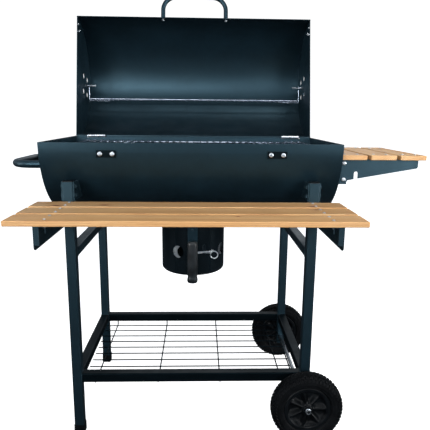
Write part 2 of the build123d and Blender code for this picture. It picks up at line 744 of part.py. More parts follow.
def cooking_grate():
    """Wire cooking grate: bars from front to rear on three support wires."""
    support_z = LEDGE_TOP + GRATE_SEAT + GRATE_SUPPORT_RADIUS
    bar_z = support_z + GRATE_SUPPORT_RADIUS + GRATE_BAR_RADIUS - GRATE_PRESS
    half_x = GRATE_PITCH * (GRATE_BARS - 1) / 2
    end_x = half_x + GRATE_SUPPORT_OVERHANG
    end_y = GRATE_HALF_DEPTH - GRATE_SUPPORT_INSET
    wires = []
    for y in (-end_y, 0, end_y):
        wires.append(rod((-end_x, y, support_z), (end_x, y, support_z), GRATE_SUPPORT_RADIUS))
    for i in range(GRATE_BARS):
        x = -half_x + GRATE_PITCH * i
        wires.append(rod((x, -GRATE_HALF_DEPTH, bar_z), (x, GRATE_HALF_DEPTH, bar_z), GRATE_BAR_RADIUS))
    return fuse(wires)


def charcoal_grate():
    """Heavier lower grate that the charcoal lies on; its side wires rest on the barrel wall."""
    inside = BARREL_RADIUS - SHEET
    z = RIM_Z - CHARCOAL_DROP
    y = sqrt((inside - CHARCOAL_SIDE_RADIUS - RUNNING_GAP) ** 2 - CHARCOAL_DROP ** 2)
    bar_z = z + CHARCOAL_SIDE_RADIUS + CHARCOAL_BAR_RADIUS - CHARCOAL_PRESS
    bar_y = sqrt((inside - CHARCOAL_BAR_RADIUS - CHARCOAL_BAR_GAP) ** 2 - (RIM_Z - bar_z) ** 2)
    half_x = CHARCOAL_PITCH * (CHARCOAL_BARS - 1) / 2
    end_x = half_x + CHARCOAL_OVERHANG
    wires = []
    for row in (-y, 0, y):
        wires.append(rod((-end_x, row, z), (end_x, row, z), CHARCOAL_SIDE_RADIUS))
    for i in range(CHARCOAL_BARS):
        x = -half_x + CHARCOAL_PITCH * i
        wires.append(rod((x, -bar_y, bar_z), (x, bar_y, bar_z), CHARCOAL_BAR_RADIUS))
    return fuse(wires)


# ---- lid (drawn closed, then swung open about the hinge) ------------------------------------------
def swing_open(piece):
    """Turns a closed lid piece about the hinge line to where the lid rests open."""
    hinge = Pos(0, HINGE_Y, HINGE_Z)
    back = Pos(0, -HINGE_Y, -HINGE_Z)
    return hinge * Rot(-LID_OPEN_ANGLE, 0, 0) * back * piece


def lid_shell():
    """The upper half barrel, with the hinge notches and the handle's screw holes."""
    profile = half_ring(BARREL_RADIUS, BARREL_RADIUS - SHEET, 1)
    shell = extrude(across(-BARREL_HALF_LENGTH, 0, LID_CENTRE_Z) * profile, 2 * BARREL_HALF_LENGTH)
    z = LID_CENTRE_Z + LID_HANDLE_HEIGHT
    holes = [drill_y(side * LID_HANDLE_X, -BARREL_RADIUS, z, BOLT_HOLE_RADIUS) for side in ENDS]
    return swing_open(shell - holes - hinge_notches())


def round_the_pivot(x, radius):
    """Cutters along X on the vent circle round the damper pivot."""
    cutters = []
    for angle in VENT_ANGLES:
        y = VENT_CIRCLE * cos(radians(angle))
        z = PIVOT_Z + VENT_CIRCLE * sin(radians(angle))
        cutters.append(drill_x(x, y, z, radius))
    return cutters


def lid_end(side):
    """A half-round end panel of the lid with vent holes and three small drain holes."""
    start = BARREL_HALF_LENGTH - END_SHEET if side > 0 else -BARREL_HALF_LENGTH
    panel = extrude(across(start, 0, LID_CENTRE_Z) * half_disc(BARREL_RADIUS - SHEET, 1), END_SHEET)
    cuts = [drill_x(start, 0, PIVOT_Z, PIVOT_RADIUS + 2 * RUNNING_GAP)]
    cuts.extend(round_the_pivot(start, VENT_RADIUS))
    for inset, height in DRAIN_PLACES:
        cuts.append(drill_x(start, -BARREL_RADIUS + inset, LID_CENTRE_Z + height, DRAIN_RADIUS))
    return swing_open(panel - cuts)


def lid_handle():
    """A bent tube handle on the front of the lid."""
    z = LID_CENTRE_Z + LID_HANDLE_HEIGHT
    near = -sqrt(BARREL_RADIUS ** 2 - LID_HANDLE_HEIGHT ** 2) - LID_HANDLE_STANDOFF
    far = near - LID_HANDLE_REACH
    x = LID_HANDLE_X
    points = [(-x, near, z), (-x, far, z), (x, far, z), (x, near, z)]
    return swing_open(bent_tube(points, LID_HANDLE_BEND, LID_HANDLE_RADIUS, LID_HANDLE_WALL))


def lid_handle_screws():
    """Two screws from inside the lid into inserts at the ends of the handle."""
    z = LID_CENTRE_Z + LID_HANDLE_HEIGHT
    head_y = LID_SCREW_STANDOFF - sqrt((BARREL_RADIUS - SHEET) ** 2 - LID_HANDLE_HEIGHT ** 2)
    size = (BOLT_RADIUS, LID_SCREW_HEAD_RADIUS, LID_SCREW_HEAD_HEIGHT)
    screws = []
    for side in ENDS:
        screws.append(bolt((side * LID_HANDLE_X, head_y, z), (0, -1, 0), LID_SCREW_LENGTH, *size))
    return swing_open(group(screws))


def damper_pivots():
    """A bolt and nut at each end of the lid that the damper turns on and the rack hangs from."""
    stack = DAMPER_GAP + SHEET + DAMPER_GAP
    size = (PIVOT_RADIUS, PIVOT_HEAD_RADIUS, PIVOT_HEAD_HEIGHT)
    pieces = []
    for side in ENDS:
        head = (side * (BARREL_HALF_LENGTH + stack), 0, PIVOT_Z)
        pieces.append(bolt(head, (-side, 0, 0), stack + PIVOT_TIP, *size))
        inside = side * (BARREL_HALF_LENGTH - END_SHEET)
        seat = Plane(origin=(inside, 0, PIVOT_Z), z_dir=(-side, 0, 0))
        nut = extrude(seat * RegularPolygon(PIVOT_NUT_RADIUS, 6), PIVOT_NUT_HEIGHT)
        pieces.append(nut - drill_x(inside, 0, PIVOT_Z, PIVOT_RADIUS))
    return swing_open(group(pieces))


def lid_damper(side):
    """A round draught plate outside a lid end, with four windows and a turned-out tab."""
    inner = side * (BARREL_HALF_LENGTH + DAMPER_GAP)
    disc = rod((inner, 0, PIVOT_Z), (inner + side * SHEET, 0, PIVOT_Z), DAMPER_RADIUS)
    tab_z = PIVOT_Z + DAMPER_RADIUS - DAMPER_TAB_INSET
    tab = block(inner, inner + side * DAMPER_TAB_REACH, -DAMPER_TAB_HALF_WIDTH, DAMPER_TAB_HALF_WIDTH,
                tab_z, tab_z + SHEET)
    cuts = [drill_x(inner, 0, PIVOT_Z, PIVOT_RADIUS + RUNNING_GAP)]
    cuts.extend(round_the_pivot(inner, DAMPER_WINDOW_RADIUS))
    return swing_open((disc + tab) - cuts)


def pivot_when_open():
    """Y and Z of the damper pivot with the lid at rest, open."""
    a = radians(-LID_OPEN_ANGLE)
    y = -HINGE_Y
    z = PIVOT_Z - HINGE_Z
    return HINGE_Y + y * cos(a) - z * sin(a), HINGE_Z + y * sin(a) + z * cos(a)


def rack_hangers():
    """Two wire hooks that hang on the pivot bolts and carry the warming rack."""
    y, z = pivot_when_open()
    eye_radius = PIVOT_RADIUS + RUNNING_GAP + HANGER_RADIUS
    arm_z = z - RACK_DROP
    hooks = []
    for side in ENDS:
        x = side * HANGER_X
        tip = side * (HANGER_X - HANGER_REACH)
        points = [(x, y, z - eye_radius), (x, y, arm_z), (tip, y, arm_z), (tip, y, arm_z + HANGER_TIP)]
        eye = Pos(x, y, z) * Rot(0, 90, 0) * Torus(eye_radius, HANGER_RADIUS)
        hooks.append(eye + bent_rod(points, HANGER_BEND, HANGER_RADIUS))
    return group(hooks)


def warming_rack():
    """A narrow wire rack that lies on the hangers inside the lid."""
    y, z = pivot_when_open()
    cross_z = z - RACK_DROP + HANGER_RADIUS + RACK_CROSS_RADIUS
    frame_z = cross_z + RACK_CROSS_RADIUS + RACK_FRAME_RADIUS - WIRE_PRESS
    end = RACK_HALF_LENGTH + RACK_FRAME_END
    wires = []
    for share in (-1, -1 / 3, 1 / 3, 1):
        row = y + share * RACK_HALF_DEPTH
        wires.append(rod((-end, row, frame_z), (end, row, frame_z), RACK_FRAME_RADIUS))
    reach = RACK_HALF_DEPTH + RACK_CROSS_END
    for i in range(int(2 * RACK_HALF_LENGTH / RACK_PITCH) + 1):
        x = -RACK_HALF_LENGTH + RACK_PITCH * i
        wires.append(rod((x, y - reach, cross_z), (x, y + reach, cross_z), RACK_CROSS_RADIUS))
    return fuse(wires)


# ---- hinges -------------------------------------------------------------------------------------
def hinge_leaf(side, upward):
    """One leaf of a butt hinge: the lower leaf has the outer knuckles, the upper one the middle."""
    third = HINGE_LENGTH / 3
    left = side * HINGE_X - HINGE_LENGTH / 2
    right = left + HINGE_LENGTH
    if upward > 0:
        spans = [(left + third + KNUCKLE_GAP, left + 2 * third - KNUCKLE_GAP)]
    else:
        spans = [(left, left + third - KNUCKLE_GAP), (left + 2 * third + KNUCKLE_GAP, right)]
    y0 = BARREL_RADIUS
    y1 = BARREL_RADIUS + SHEET
    near = HINGE_Z + upward * HINGE_LEAF_START
    pieces = [block(left, right, y0, y1, near, HINGE_Z + upward * HINGE_LEAF_REACH)]
    for x0, x1 in spans:
        pieces.append(block(x0, x1, y0, y1 + HINGE_LEAF_TURN, HINGE_Z, near + upward * HINGE_LEAF_TURN))
        pieces.append(rod((x0, HINGE_Y, HINGE_Z), (x1, HINGE_Y, HINGE_Z), KNUCKLE_RADIUS))
    bore = drill_x(side * HINGE_X, HINGE_Y, HINGE_Z, HINGE_PIN_RADIUS + RUNNING_GAP, HINGE_LENGTH)
    return fuse(pieces) - bore


def hinge_leaves_lower():
    """Hinge leaves on the back of the lower barrel."""
    return group([hinge_leaf(side, -1) for side in ENDS])


def hinge_leaves_upper():
    """Hinge leaves on the back of the lid."""
    return swing_open(group([hinge_leaf(side, 1) for side in ENDS]))


def hinge_pins():
    """Pins through the knuckles, each with a small head."""
    pins = []
    for side in ENDS:
        a = side * HINGE_X - HINGE_LENGTH / 2 - HINGE_PIN_OVERHANG
        b = side * HINGE_X + HINGE_LENGTH / 2 + HINGE_PIN_OVERHANG
        pin = rod((a, HINGE_Y, HINGE_Z), (b, HINGE_Y, HINGE_Z), HINGE_PIN_RADIUS)
        head = rod((a - HINGE_PIN_HEAD, HINGE_Y, HINGE_Z), (a, HINGE_Y, HINGE_Z), HINGE_PIN_HEAD_RADIUS)
        pins.append(pin + head)
    return group(pins)


# ---- lifting handle -----------------------------------------------------------------------------
def side_handle():
    """A bent tube handle with bolted flanges on the left end, used to lift and wheel the grill."""
    x0 = -BARREL_HALF_LENGTH
    x1 = x0 - HANDLE_REACH
    y = HANDLE_HALF_SPAN
    start = x0 - HANDLE_FLANGE / 2
    points = [(start, -y, HANDLE_Z), (x1, -y, HANDLE_Z), (x1, y, HANDLE_Z), (start, y, HANDLE_Z)]
    pieces = [bent_tube(points, HANDLE_BEND, HANDLE_TUBE_RADIUS, HANDLE_TUBE_WALL)]
    for depth in ENDS:
        plane = Plane(origin=(x0, depth * y, HANDLE_Z), x_dir=(0, 1, 0), z_dir=(-1, 0, 0))
        pieces.append(extrude(plane * SlotOverall(HANDLE_FLANGE_LENGTH, HANDLE_FLANGE_WIDTH, 90), HANDLE_FLANGE))
    holes = [drill_x(x0, hole_y, hole_z, HANDLE_BOLT_HOLE_RADIUS) for hole_y, hole_z in handle_bolt_places()]
    return fuse(pieces) - holes


# ---- front shelf --------------------------------------------------------------------------------
def front_slat_start(index):
    """Y of the front edge of a front slat; slat 0 is the front one."""
    return FRONT_SHELF_FRONT + index * (FRONT_SLAT_WIDTH + FRONT_SLAT_GAP)


def front_screw_rows():
    """Y of the screws that hold the front slats."""
    rows = []
    for index in range(SLAT_COUNT):
        for share in FRONT_SLAT_SCREWS:
            rows.append(front_slat_start(index) + share * FRONT_SLAT_WIDTH)
    return rows


def slat(length, width):
    """A wooden slat along +X with eased edges, standing on Z = 0, centred."""
    body = Pos(0, 0, SLAT_THICKNESS / 2) * Box(length, width, SLAT_THICKNESS)
    return fillet(body.edges(), SLAT_ROUNDING)


def front_slat(index):
    """One of the three long slats of the front shelf."""
    y = front_slat_start(index) + FRONT_SLAT_WIDTH / 2
    body = Pos(FRONT_SHELF_X, y, FRONT_ARM_TOP) * slat(2 * FRONT_SHELF_HALF, FRONT_SLAT_WIDTH)
    holes = []
    for side in ENDS:
        for row in front_screw_rows():
            if abs(row - y) < FRONT_SLAT_WIDTH / 2:
                holes.append(drill_z(side * SCREW_X, row, FRONT_ARM_TOP, SCREW_HOLE_RADIUS, TUBE))
    return body - holes


def front_bracket(side):
    """A folded steel arm, bolted outside a front leg, that carries the front slats."""
    top = FRONT_ARM_TOP
    bottom = top - FRONT_ARM_DEPTH
    front = FRONT_SHELF_FRONT + FRONT_ARM_START
    x0 = side * LEG_OUTER_X
    x1 = side * (LEG_OUTER_X + PLATE)
    web = block(x0, x1, front, -LEG_INNER_Y, bottom, top)
    web = fillet(web.edges().filter_by(Axis.X).group_by(Axis.Z)[0], FRONT_ARM_ROUNDING)
    flange_in = side * (LEG_OUTER_X - FRONT_ARM_FLANGE)
    flange = block(flange_in, x1, front, -LEG_OUTER_Y - FRONT_SHELF_SETBACK / 2, top - PLATE, top)
    lip_in = side * (LEG_OUTER_X - FRONT_ARM_LIP)
    lip = block(lip_in, x1, front, front + PLATE, bottom + FRONT_ARM_LIP_RISE, top)
    origin = (x0 - TUBE / 2, front + FRONT_ARM_SLOT_Y, top - FRONT_ARM_SLOT_DROP)
    plane = Plane(origin=origin, x_dir=(0, 0, 1), z_dir=(1, 0, 0))
    cuts = [extrude(plane * SlotOverall(FRONT_ARM_SLOT_LENGTH, FRONT_ARM_SLOT_WIDTH), TUBE)]
    for row in front_screw_rows():
        cuts.append(drill_z(side * SCREW_X, row, top, SCREW_HOLE_RADIUS))
    return (web + flange + lip) - cuts


def wood_screws(places, top):
    """Pan-head screws down through a slat and its arm's flange."""
    length = SLAT_THICKNESS + PLATE + TIP_OVERHANG
    size = (SCREW_RADIUS, SCREW_HEAD_RADIUS, SCREW_HEAD_HEIGHT)
    return [bolt((x, y, top), (0, 0, -1), length, *size) for x, y in places]


def slat_screws():
    """All the screws of the front and side shelves."""
    front = [(side * SCREW_X, row) for side in ENDS for row in front_screw_rows()]
    return group(wood_screws(front, FRONT_SHELF_TOP) + wood_screws(side_screw_places(), SIDE_SHELF_TOP))


# ---- side shelf ---------------------------------------------------------------------------------
def side_slat_start(index):
    """X of the inner edge of a side slat; slat 0 is beside the barrel."""
    return SIDE_SHELF_X + index * (SIDE_SLAT_WIDTH + SIDE_SLAT_GAP)


def side_bolt_places():
    """X and Z of the bolts that join a side arm to its angle on the barrel end."""
    return [(BARREL_HALF_LENGTH + SIDE_BOLT_X, SIDE_ARM_TOP - drop) for drop in SIDE_BOLT_DROPS]


def side_screw_places():
    """X and Y of the screws that hold the side slats."""
    places = []
    for depth in ENDS:
        for index in range(SLAT_COUNT):
            for share in SIDE_SLAT_SCREWS:
                x = side_slat_start(index) + share * SIDE_SLAT_WIDTH
                places.append((x, depth * (SIDE_ARM_Y - SIDE_SCREW_INSET)))
    return places


def side_slat(index):
    """One of the three slats of the side shelf, which run from front to rear."""
    x = side_slat_start(index) + SIDE_SLAT_WIDTH / 2
    body = Pos(x, 0, SIDE_ARM_TOP) * Rot(0, 0, 90) * slat(2 * SIDE_SHELF_HALF, SIDE_SLAT_WIDTH)
    holes = []
    for hole_x, hole_y in side_screw_places():
        if abs(hole_x - x) < SIDE_SLAT_WIDTH / 2:
            holes.append(drill_z(hole_x, hole_y, SIDE_ARM_TOP, SCREW_HOLE_RADIUS, TUBE))
    return body - holes


def side_arm_web(depth):
    """The upright plate of a side arm: deep at the barrel, shallow at its tip."""
    top = SIDE_ARM_TOP
    tip = SIDE_ARM_X + SIDE_ARM_REACH
    root = SIDE_ARM_X + SIDE_ARM_ROOT
    low = top - SIDE_ARM_DEEP
    outline = Polyline(
        (SIDE_ARM_X, top),
        (tip, top),
        (tip, top - SIDE_ARM_SHALLOW),
        (root, low + SIDE_ARM_STEP),
        (root - SIDE_ARM_STEP_RUN, low),
        (SIDE_ARM_X, low),
        close=True,
    )
    plane = Plane(origin=(0, depth * SIDE_ARM_Y, 0), x_dir=(1, 0, 0), z_dir=(0, -1, 0))
    web = extrude(plane * make_face(outline), -depth * PLATE)
    corner = web.edges().filter_by(Axis.Y).group_by(Axis.X)[-1].sort_by(Axis.Z)[0]
    return fillet(corner, SIDE_ARM_ROUNDING)


def side_bracket(depth):
    """A tapered steel arm under the side shelf, with a notch to hang a tool from."""
    top = SIDE_ARM_TOP
    y = depth * SIDE_ARM_Y
    flange = block(SIDE_ARM_X, SIDE_ARM_X + SIDE_ARM_REACH, y - depth * SIDE_ARM_FLANGE, y + depth * PLATE,
                   top - PLATE, top)
    x = BARREL_HALF_LENGTH + NOTCH_X
    z = top - NOTCH_DROP
    cuts = [block(x - NOTCH_RADIUS, x + NOTCH_RADIUS, y - DRILL, y + DRILL, z - NOTCH_LENGTH, z)]
    cuts.append(drill_y(x, y, z, NOTCH_RADIUS))
    for hole_x, hole_z in side_bolt_places():
        cuts.append(drill_y(hole_x, y, hole_z, BOLT_HOLE_RADIUS))
    for hole_x, hole_y in side_screw_places():
        cuts.append(drill_z(hole_x, hole_y, top, SCREW_HOLE_RADIUS))
    return (side_arm_web(depth) + flange) - cuts


def side_angles():
    """Steel angles welded to the right end panel, one behind each side arm."""
    top = SIDE_ARM_TOP - PLATE - ANGLE_GAP
    bottom = top - ANGLE_HEIGHT
    x = BARREL_HALF_LENGTH
    pieces = []
    for depth in ENDS:
        y = depth * SIDE_ARM_Y
        wing = block(x, x + ANGLE_WING, y, y - depth * PLATE, bottom, top)
        foot = block(x, x + PLATE, y, y - depth * ANGLE_FOOT, bottom, top)
        holes = [drill_y(hole_x, y, z, BOLT_HOLE_RADIUS) for hole_x, z in side_bolt_places()]
        pieces.append((wing + foot) - holes)
    return group(pieces)


# ---- ash pot ------------------------------------------------------------------------------------
def pot_direction(angle):
    """Unit X and Y of a direction round the ash pot; zero faces the cook and positive is to the right."""
    return sin(radians(angle)), -cos(radians(angle))


def pot_hole_cutters(first):
    """Four round cutters, a quarter turn apart, through the ash pot's wall."""
    cutters = []
    for i in range(4):
        dx, dy = pot_direction(first + 90.0 * i)
        start = POT_RADIUS / 2
        end = 2 * POT_RADIUS
        near = (dx * start, dy * start, POT_HOLE_Z)
        far = (dx * end, dy * end, POT_HOLE_Z)
        cutters.append(rod(near, far, POT_HOLE_RADIUS))
    return cutters


def ash_pot():
    """The ash pot: a deep round pan with four air holes and a slot for the damper's lever."""
    low = (Align.CENTER, Align.CENTER, Align.MIN)
    height = POT_TOP - POT_BOTTOM
    outer = Cylinder(POT_RADIUS, height, align=low)
    outer = fillet(outer.edges().group_by(Axis.Z)[0], POT_ROUNDING)
    inner = Pos(0, 0, POT_WALL) * Cylinder(POT_RADIUS - POT_WALL, height, align=low)
    inner = fillet(inner.edges().group_by(Axis.Z)[0], POT_ROUNDING - POT_WALL)
    pan = Pos(0, 0, POT_BOTTOM) * (outer - inner)
    slot_section = Plane.XZ * Pos(POT_RADIUS, POT_HOLE_Z) * Rectangle(POT_SLOT_DEPTH, POT_SLOT_HEIGHT)
    slot = revolve(slot_section, Axis.Z, revolution_arc=POT_SLOT_SWEEP)
    return pan - pot_hole_cutters(POT_HOLE_ANGLE) - Rot(0, 0, POT_SLOT_START - 90.0) * slot


def ash_pot_handle():
    """The ash pot's upright grip, held off the pot by two short arms."""
    back = -POT_RADIUS - GRIP_STANDOFF
    grip = block(-GRIP_HALF_WIDTH, GRIP_HALF_WIDTH, back - GRIP_DEPTH, back,
                 POT_BOTTOM - GRIP_BELOW, POT_HOLE_Z + GRIP_ABOVE)
    pieces = [fillet(grip.edges(), GRIP_ROUNDING)]
    skin = rod((0, 0, POT_BOTTOM), (0, 0, POT_TOP), POT_RADIUS)
    for z in (POT_BOTTOM + GRIP_ARM_LOW, POT_HOLE_Z + GRIP_ARM_HIGH):
        arm = block(-GRIP_ARM_HALF_WIDTH, GRIP_ARM_HALF_WIDTH, back - GRIP_ARM_BITE, -POT_RADIUS + GRIP_ARM_HALF_WIDTH,
                    z - GRIP_ARM_HALF_THICKNESS, z + GRIP_ARM_HALF_THICKNESS)
        pieces.append(arm - skin)
    return fuse(pieces)


def pot_damper():
    """A bright damper ring inside the ash pot, with its wire lever and loop."""
    outer = POT_RADIUS - POT_WALL - POT_RING_GAP
    half = POT_HOLE_RADIUS + POT_RING_MARGIN
    ring = drill_z(0, 0, POT_HOLE_Z, outer, half) - drill_z(0, 0, POT_HOLE_Z, outer - POT_RING_WALL, half + 1)
    dx, dy = pot_direction(LEVER_ANGLE)
    start = outer - LEVER_ROOT
    stub = POT_RADIUS + LEVER_STUB
    end_x, end_y, rise = LEVER_END
    end_z = POT_HOLE_Z + rise
    points = [(dx * start, dy * start, POT_HOLE_Z), (dx * stub, dy * stub, POT_HOLE_Z), (end_x, end_y, end_z)]
    lever = bent_rod(points, LEVER_BEND, LEVER_RADIUS)
    loop_place = Pos(end_x + LOOP_RADIUS - 1, end_y, end_z - LOOP_DROP)
    loop = loop_place * Rot(90, 0, 0) * Torus(LOOP_RADIUS, LEVER_RADIUS)
    return (ring - pot_hole_cutters(POT_HOLE_ANGLE + POT_RING_LEAD)) + lever + loop


# ---- everything ---------------------------------------------------------------------------------
def all_parts():
    """Every sub-part by name, in the drawing's own place."""
    parts = {}
    for side, side_name in zip(ENDS, ("left", "right")):
        for depth, depth_name in zip(ENDS, ("front", "rear")):
            parts[f"leg_{depth_name}_{side_name}"] = leg(side, depth)
        parts[f"rail_lower_{side_name}"] = rail_along_y(side, LOWER_RAIL_TOP)
        parts[f"rail_upper_{side_name}"] = rail_along_y(side, UPPER_RAIL_TOP)
        parts[f"firebox_end_{side_name}"] = firebox_end(side)
        parts[f"lid_end_{side_name}"] = lid_end(side)
        parts[f"lid_damper_{side_name}"] = lid_damper(side)
        parts[f"front_bracket_{side_name}"] = front_bracket(side)
    for depth, depth_name in zip(ENDS, ("front", "rear")):
        parts[f"rail_lower_{depth_name}"] = rail_along_x(depth)
        parts[f"tyre_{depth_name}"] = tyre(depth)
        parts[f"rim_{depth_name}"] = rim(depth)
        parts[f"side_bracket_{depth_name}"] = side_bracket(depth)
    for index in range(SLAT_COUNT):
        parts[f"front_slat_{index + 1}"] = front_slat(index)
        parts[f"side_slat_{index + 1}"] = side_slat(index)
    singles = (
        foot_caps, leg_plugs, wire_shelf, leg_brackets, frame_bolts, side_arm_bolts, axle, axle_caps,
        firebox_shell, pot_collar, ledge_plates, grate_ledges, ledge_bolts, cooking_grate, charcoal_grate,
        lid_shell, lid_handle, lid_handle_screws, damper_pivots, rack_hangers, warming_rack,
        hinge_leaves_lower, hinge_leaves_upper, hinge_pins, side_handle, slat_screws, side_angles, ash_pot,
        ash_pot_handle, pot_damper,
    )
    for make in singles:
        parts[make.__name__] = make()
    return parts


def main():
    """Moves everything so the origin is under the middle of the overall box, and writes the files."""
    os.makedirs("parts", exist_ok=True)
    parts = all_parts()
    box = Compound(children=[solid for part in parts.values() for solid in part.solids()]).bounding_box()
    shift = Pos(-box.center().X, -box.center().Y, -box.min.Z)
    print("shift", -box.center().X, -box.center().Y, -box.min.Z, "size", box.size)
    for name, part in parts.items():
        export_step(shift * part, f"parts/{name}.step")
    print(len(parts), "sub-parts, pivot when open", pivot_when_open())


main()
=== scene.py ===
"""Barrel charcoal grill: the looks of every piece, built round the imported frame.

Metres, +Z up. The cook stands at -Y and looks along +Y; +X is the cook's right, where the side shelf is.
"""

import json
import logging
import math
import random
from dataclasses import dataclass
from enum import Enum
from typing import Callable, Dict, Iterable, List, Sequence, Tuple

import bmesh
import bpy
from mathutils import Matrix, Vector


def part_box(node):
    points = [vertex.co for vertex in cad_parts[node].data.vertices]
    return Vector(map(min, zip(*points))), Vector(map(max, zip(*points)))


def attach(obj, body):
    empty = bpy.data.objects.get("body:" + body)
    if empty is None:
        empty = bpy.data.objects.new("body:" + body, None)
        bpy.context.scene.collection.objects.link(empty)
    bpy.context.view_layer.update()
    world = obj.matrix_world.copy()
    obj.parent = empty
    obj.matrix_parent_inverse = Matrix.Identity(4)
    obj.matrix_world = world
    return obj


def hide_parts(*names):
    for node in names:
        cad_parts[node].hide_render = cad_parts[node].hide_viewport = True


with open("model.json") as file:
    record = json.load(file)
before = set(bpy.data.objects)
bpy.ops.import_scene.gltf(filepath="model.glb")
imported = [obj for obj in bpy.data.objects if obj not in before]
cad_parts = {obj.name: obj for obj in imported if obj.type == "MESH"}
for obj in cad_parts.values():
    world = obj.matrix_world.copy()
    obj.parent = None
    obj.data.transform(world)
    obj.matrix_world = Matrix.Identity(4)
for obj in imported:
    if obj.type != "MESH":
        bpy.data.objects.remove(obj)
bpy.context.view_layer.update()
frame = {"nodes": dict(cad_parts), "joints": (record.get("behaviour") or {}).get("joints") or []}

LOG = logging.getLogger("grill")
TAU = 2.0 * math.pi
MM = 0.001
MERGE_DISTANCE = 1e-6
LID_AXIS_RISE = 1.0 * MM
SQUARE = ((-1, -1), (1, -1), (1, 1), (-1, 1))

Rgb = Tuple[float, float, float]
Socket = bpy.types.NodeSocket
Corners = Tuple[Vector, Vector]
Point = Tuple[float, float, float]


# ---- shader graph helper ---------------------------------------------------------------------------
class Graph:
    """A short way to add and join shader nodes in one tree."""

    def __init__(self, tree: bpy.types.NodeTree) -> None:
        """Args: tree: the node tree that the nodes go into."""
        self.tree = tree

    def node(self, kind: str, **settings: object) -> bpy.types.Node:
        """Adds a node and sets its properties.

        Args:
            kind: the node's type name.
            settings: property names and values.
        Returns:
            The new node.
        """
        made = self.tree.nodes.new(kind)
        for key, value in settings.items():
            setattr(made, key, value)
        return made

    def feed(self, socket: Socket, value: object) -> None:
        """Links value into socket if it is an output, or sets it as the socket's own value."""
        if isinstance(value, bpy.types.NodeSocket):
            self.tree.links.new(value, socket)
        else:
            socket.default_value = value

    def math(self, operation: str, a: object, b: object = 0.0, clamp: bool = False) -> Socket:
        """One Math node with up to two inputs."""
        made = self.node("ShaderNodeMath", operation=operation, use_clamp=clamp)
        self.feed(made.inputs[0], a)
        self.feed(made.inputs[1], b)
        return made.outputs[0]

    def vector(self, operation: str, a: object, b: object) -> Socket:
        """One Vector Math node that puts out a vector."""
        made = self.node("ShaderNodeVectorMath", operation=operation)
        self.feed(made.inputs[0], a)
        self.feed(made.inputs[1], b)
        return made.outputs[0]

    def dot(self, a: object, b: object) -> Socket:
        """The dot product of two vectors."""
        made = self.node("ShaderNodeVectorMath", operation="DOT_PRODUCT")
        self.feed(made.inputs[0], a)
        self.feed(made.inputs[1], b)
        return made.outputs["Value"]

    def split(self, vector: Socket) -> Tuple[Socket, Socket, Socket]:
        """The three parts of a vector."""
        made = self.node("ShaderNodeSeparateXYZ")
        self.feed(made.inputs[0], vector)
        return made.outputs[0], made.outputs[1], made.outputs[2]

    def join(self, x: object, y: object, z: object) -> Socket:
        """A vector from three parts."""
        made = self.node("ShaderNodeCombineXYZ")
        for socket, value in zip(made.inputs, (x, y, z)):
            self.feed(socket, value)
        return made.outputs[0]

    def noise(self, vector: object, scale: object, detail: float = 2.0, roughness: float = 0.5) -> Socket:
        """A noise factor from 0 to 1."""
        made = self.node("ShaderNodeTexNoise")
        self.feed(made.inputs["Vector"], vector)
        self.feed(made.inputs["Scale"], scale)
        made.inputs["Detail"].default_value = detail
        made.inputs["Roughness"].default_value = roughness
        return made.outputs[0]

    def remap(self, value: object, low: object, high: object, to_low: float = 0.0,
              to_high: float = 1.0) -> Socket:
        """Turns value smoothly from one range into another, held at both ends."""
        made = self.node("ShaderNodeMapRange", interpolation_type="SMOOTHSTEP")
        for name, number in (("Value", value), ("From Min", low), ("From Max", high),
                             ("To Min", to_low), ("To Max", to_high)):
            self.feed(made.inputs[name], number)
        return made.outputs["Result"]

    def blend(self, factor: object, a: object, b: object, kind: str = "MIX") -> Socket:
        """A colour between a and b, or another kind of mix of the two."""
        made = self.node("ShaderNodeMix", data_type="RGBA", blend_type=kind)
        self.feed(made.inputs[0], factor)
        self.feed(made.inputs[6], a if isinstance(a, bpy.types.NodeSocket) else (*a, 1.0))
        self.feed(made.inputs[7], b if isinstance(b, bpy.types.NodeSocket) else (*b, 1.0))
        return made.outputs[2]

    def place(self, group: bpy.types.NodeTree, **values: object) -> bpy.types.Node:
        """Puts a node group into this tree.

        Args:
            group: the group's tree.
            values: one value for each input, its name in lower case with _ for a space.
        Returns:
            The group node.
        """
        made = self.node("ShaderNodeGroup", node_tree=group)
        for socket in made.inputs:
            key = socket.name.lower().replace(" ", "_")
            if key in values:
                self.feed(socket, values[key])
        return made

    def bump(self, height: Socket, strength: float, distance: float) -> Socket:
        """A normal bent by a height field."""
        made = self.node("ShaderNodeBump")
        made.inputs["Strength"].default_value = strength
        made.inputs["Distance"].default_value = distance
        self.feed(made.inputs["Height"], height)
        return made.outputs["Normal"]


SOCKET_KINDS = {"f": "NodeSocketFloat", "v": "NodeSocketVector", "c": "NodeSocketColor"}


def open_group(name: str, inputs: Sequence[Tuple[str, str]],
               outputs: Sequence[Tuple[str, str]]) -> Tuple[bpy.types.NodeTree, Graph, object, object]:
    """Starts a shader node group.

    Args:
        name: the group's name.
        inputs: pairs of socket name and kind, f, v or c.
        outputs: the same for what the group puts out.
    Returns:
        The tree, its graph, the input node's sockets and the output node's sockets.
    """
    tree = bpy.data.node_groups.new(name, "ShaderNodeTree")
    for label, kind in inputs:
        tree.interface.new_socket(label, in_out="INPUT", socket_type=SOCKET_KINDS[kind])
    for label, kind in outputs:
        tree.interface.new_socket(label, in_out="OUTPUT", socket_type=SOCKET_KINDS[kind])
    graph = Graph(tree)
    start = graph.node("NodeGroupInput")
    end = graph.node("NodeGroupOutput")
    return tree, graph, start.outputs, end.inputs


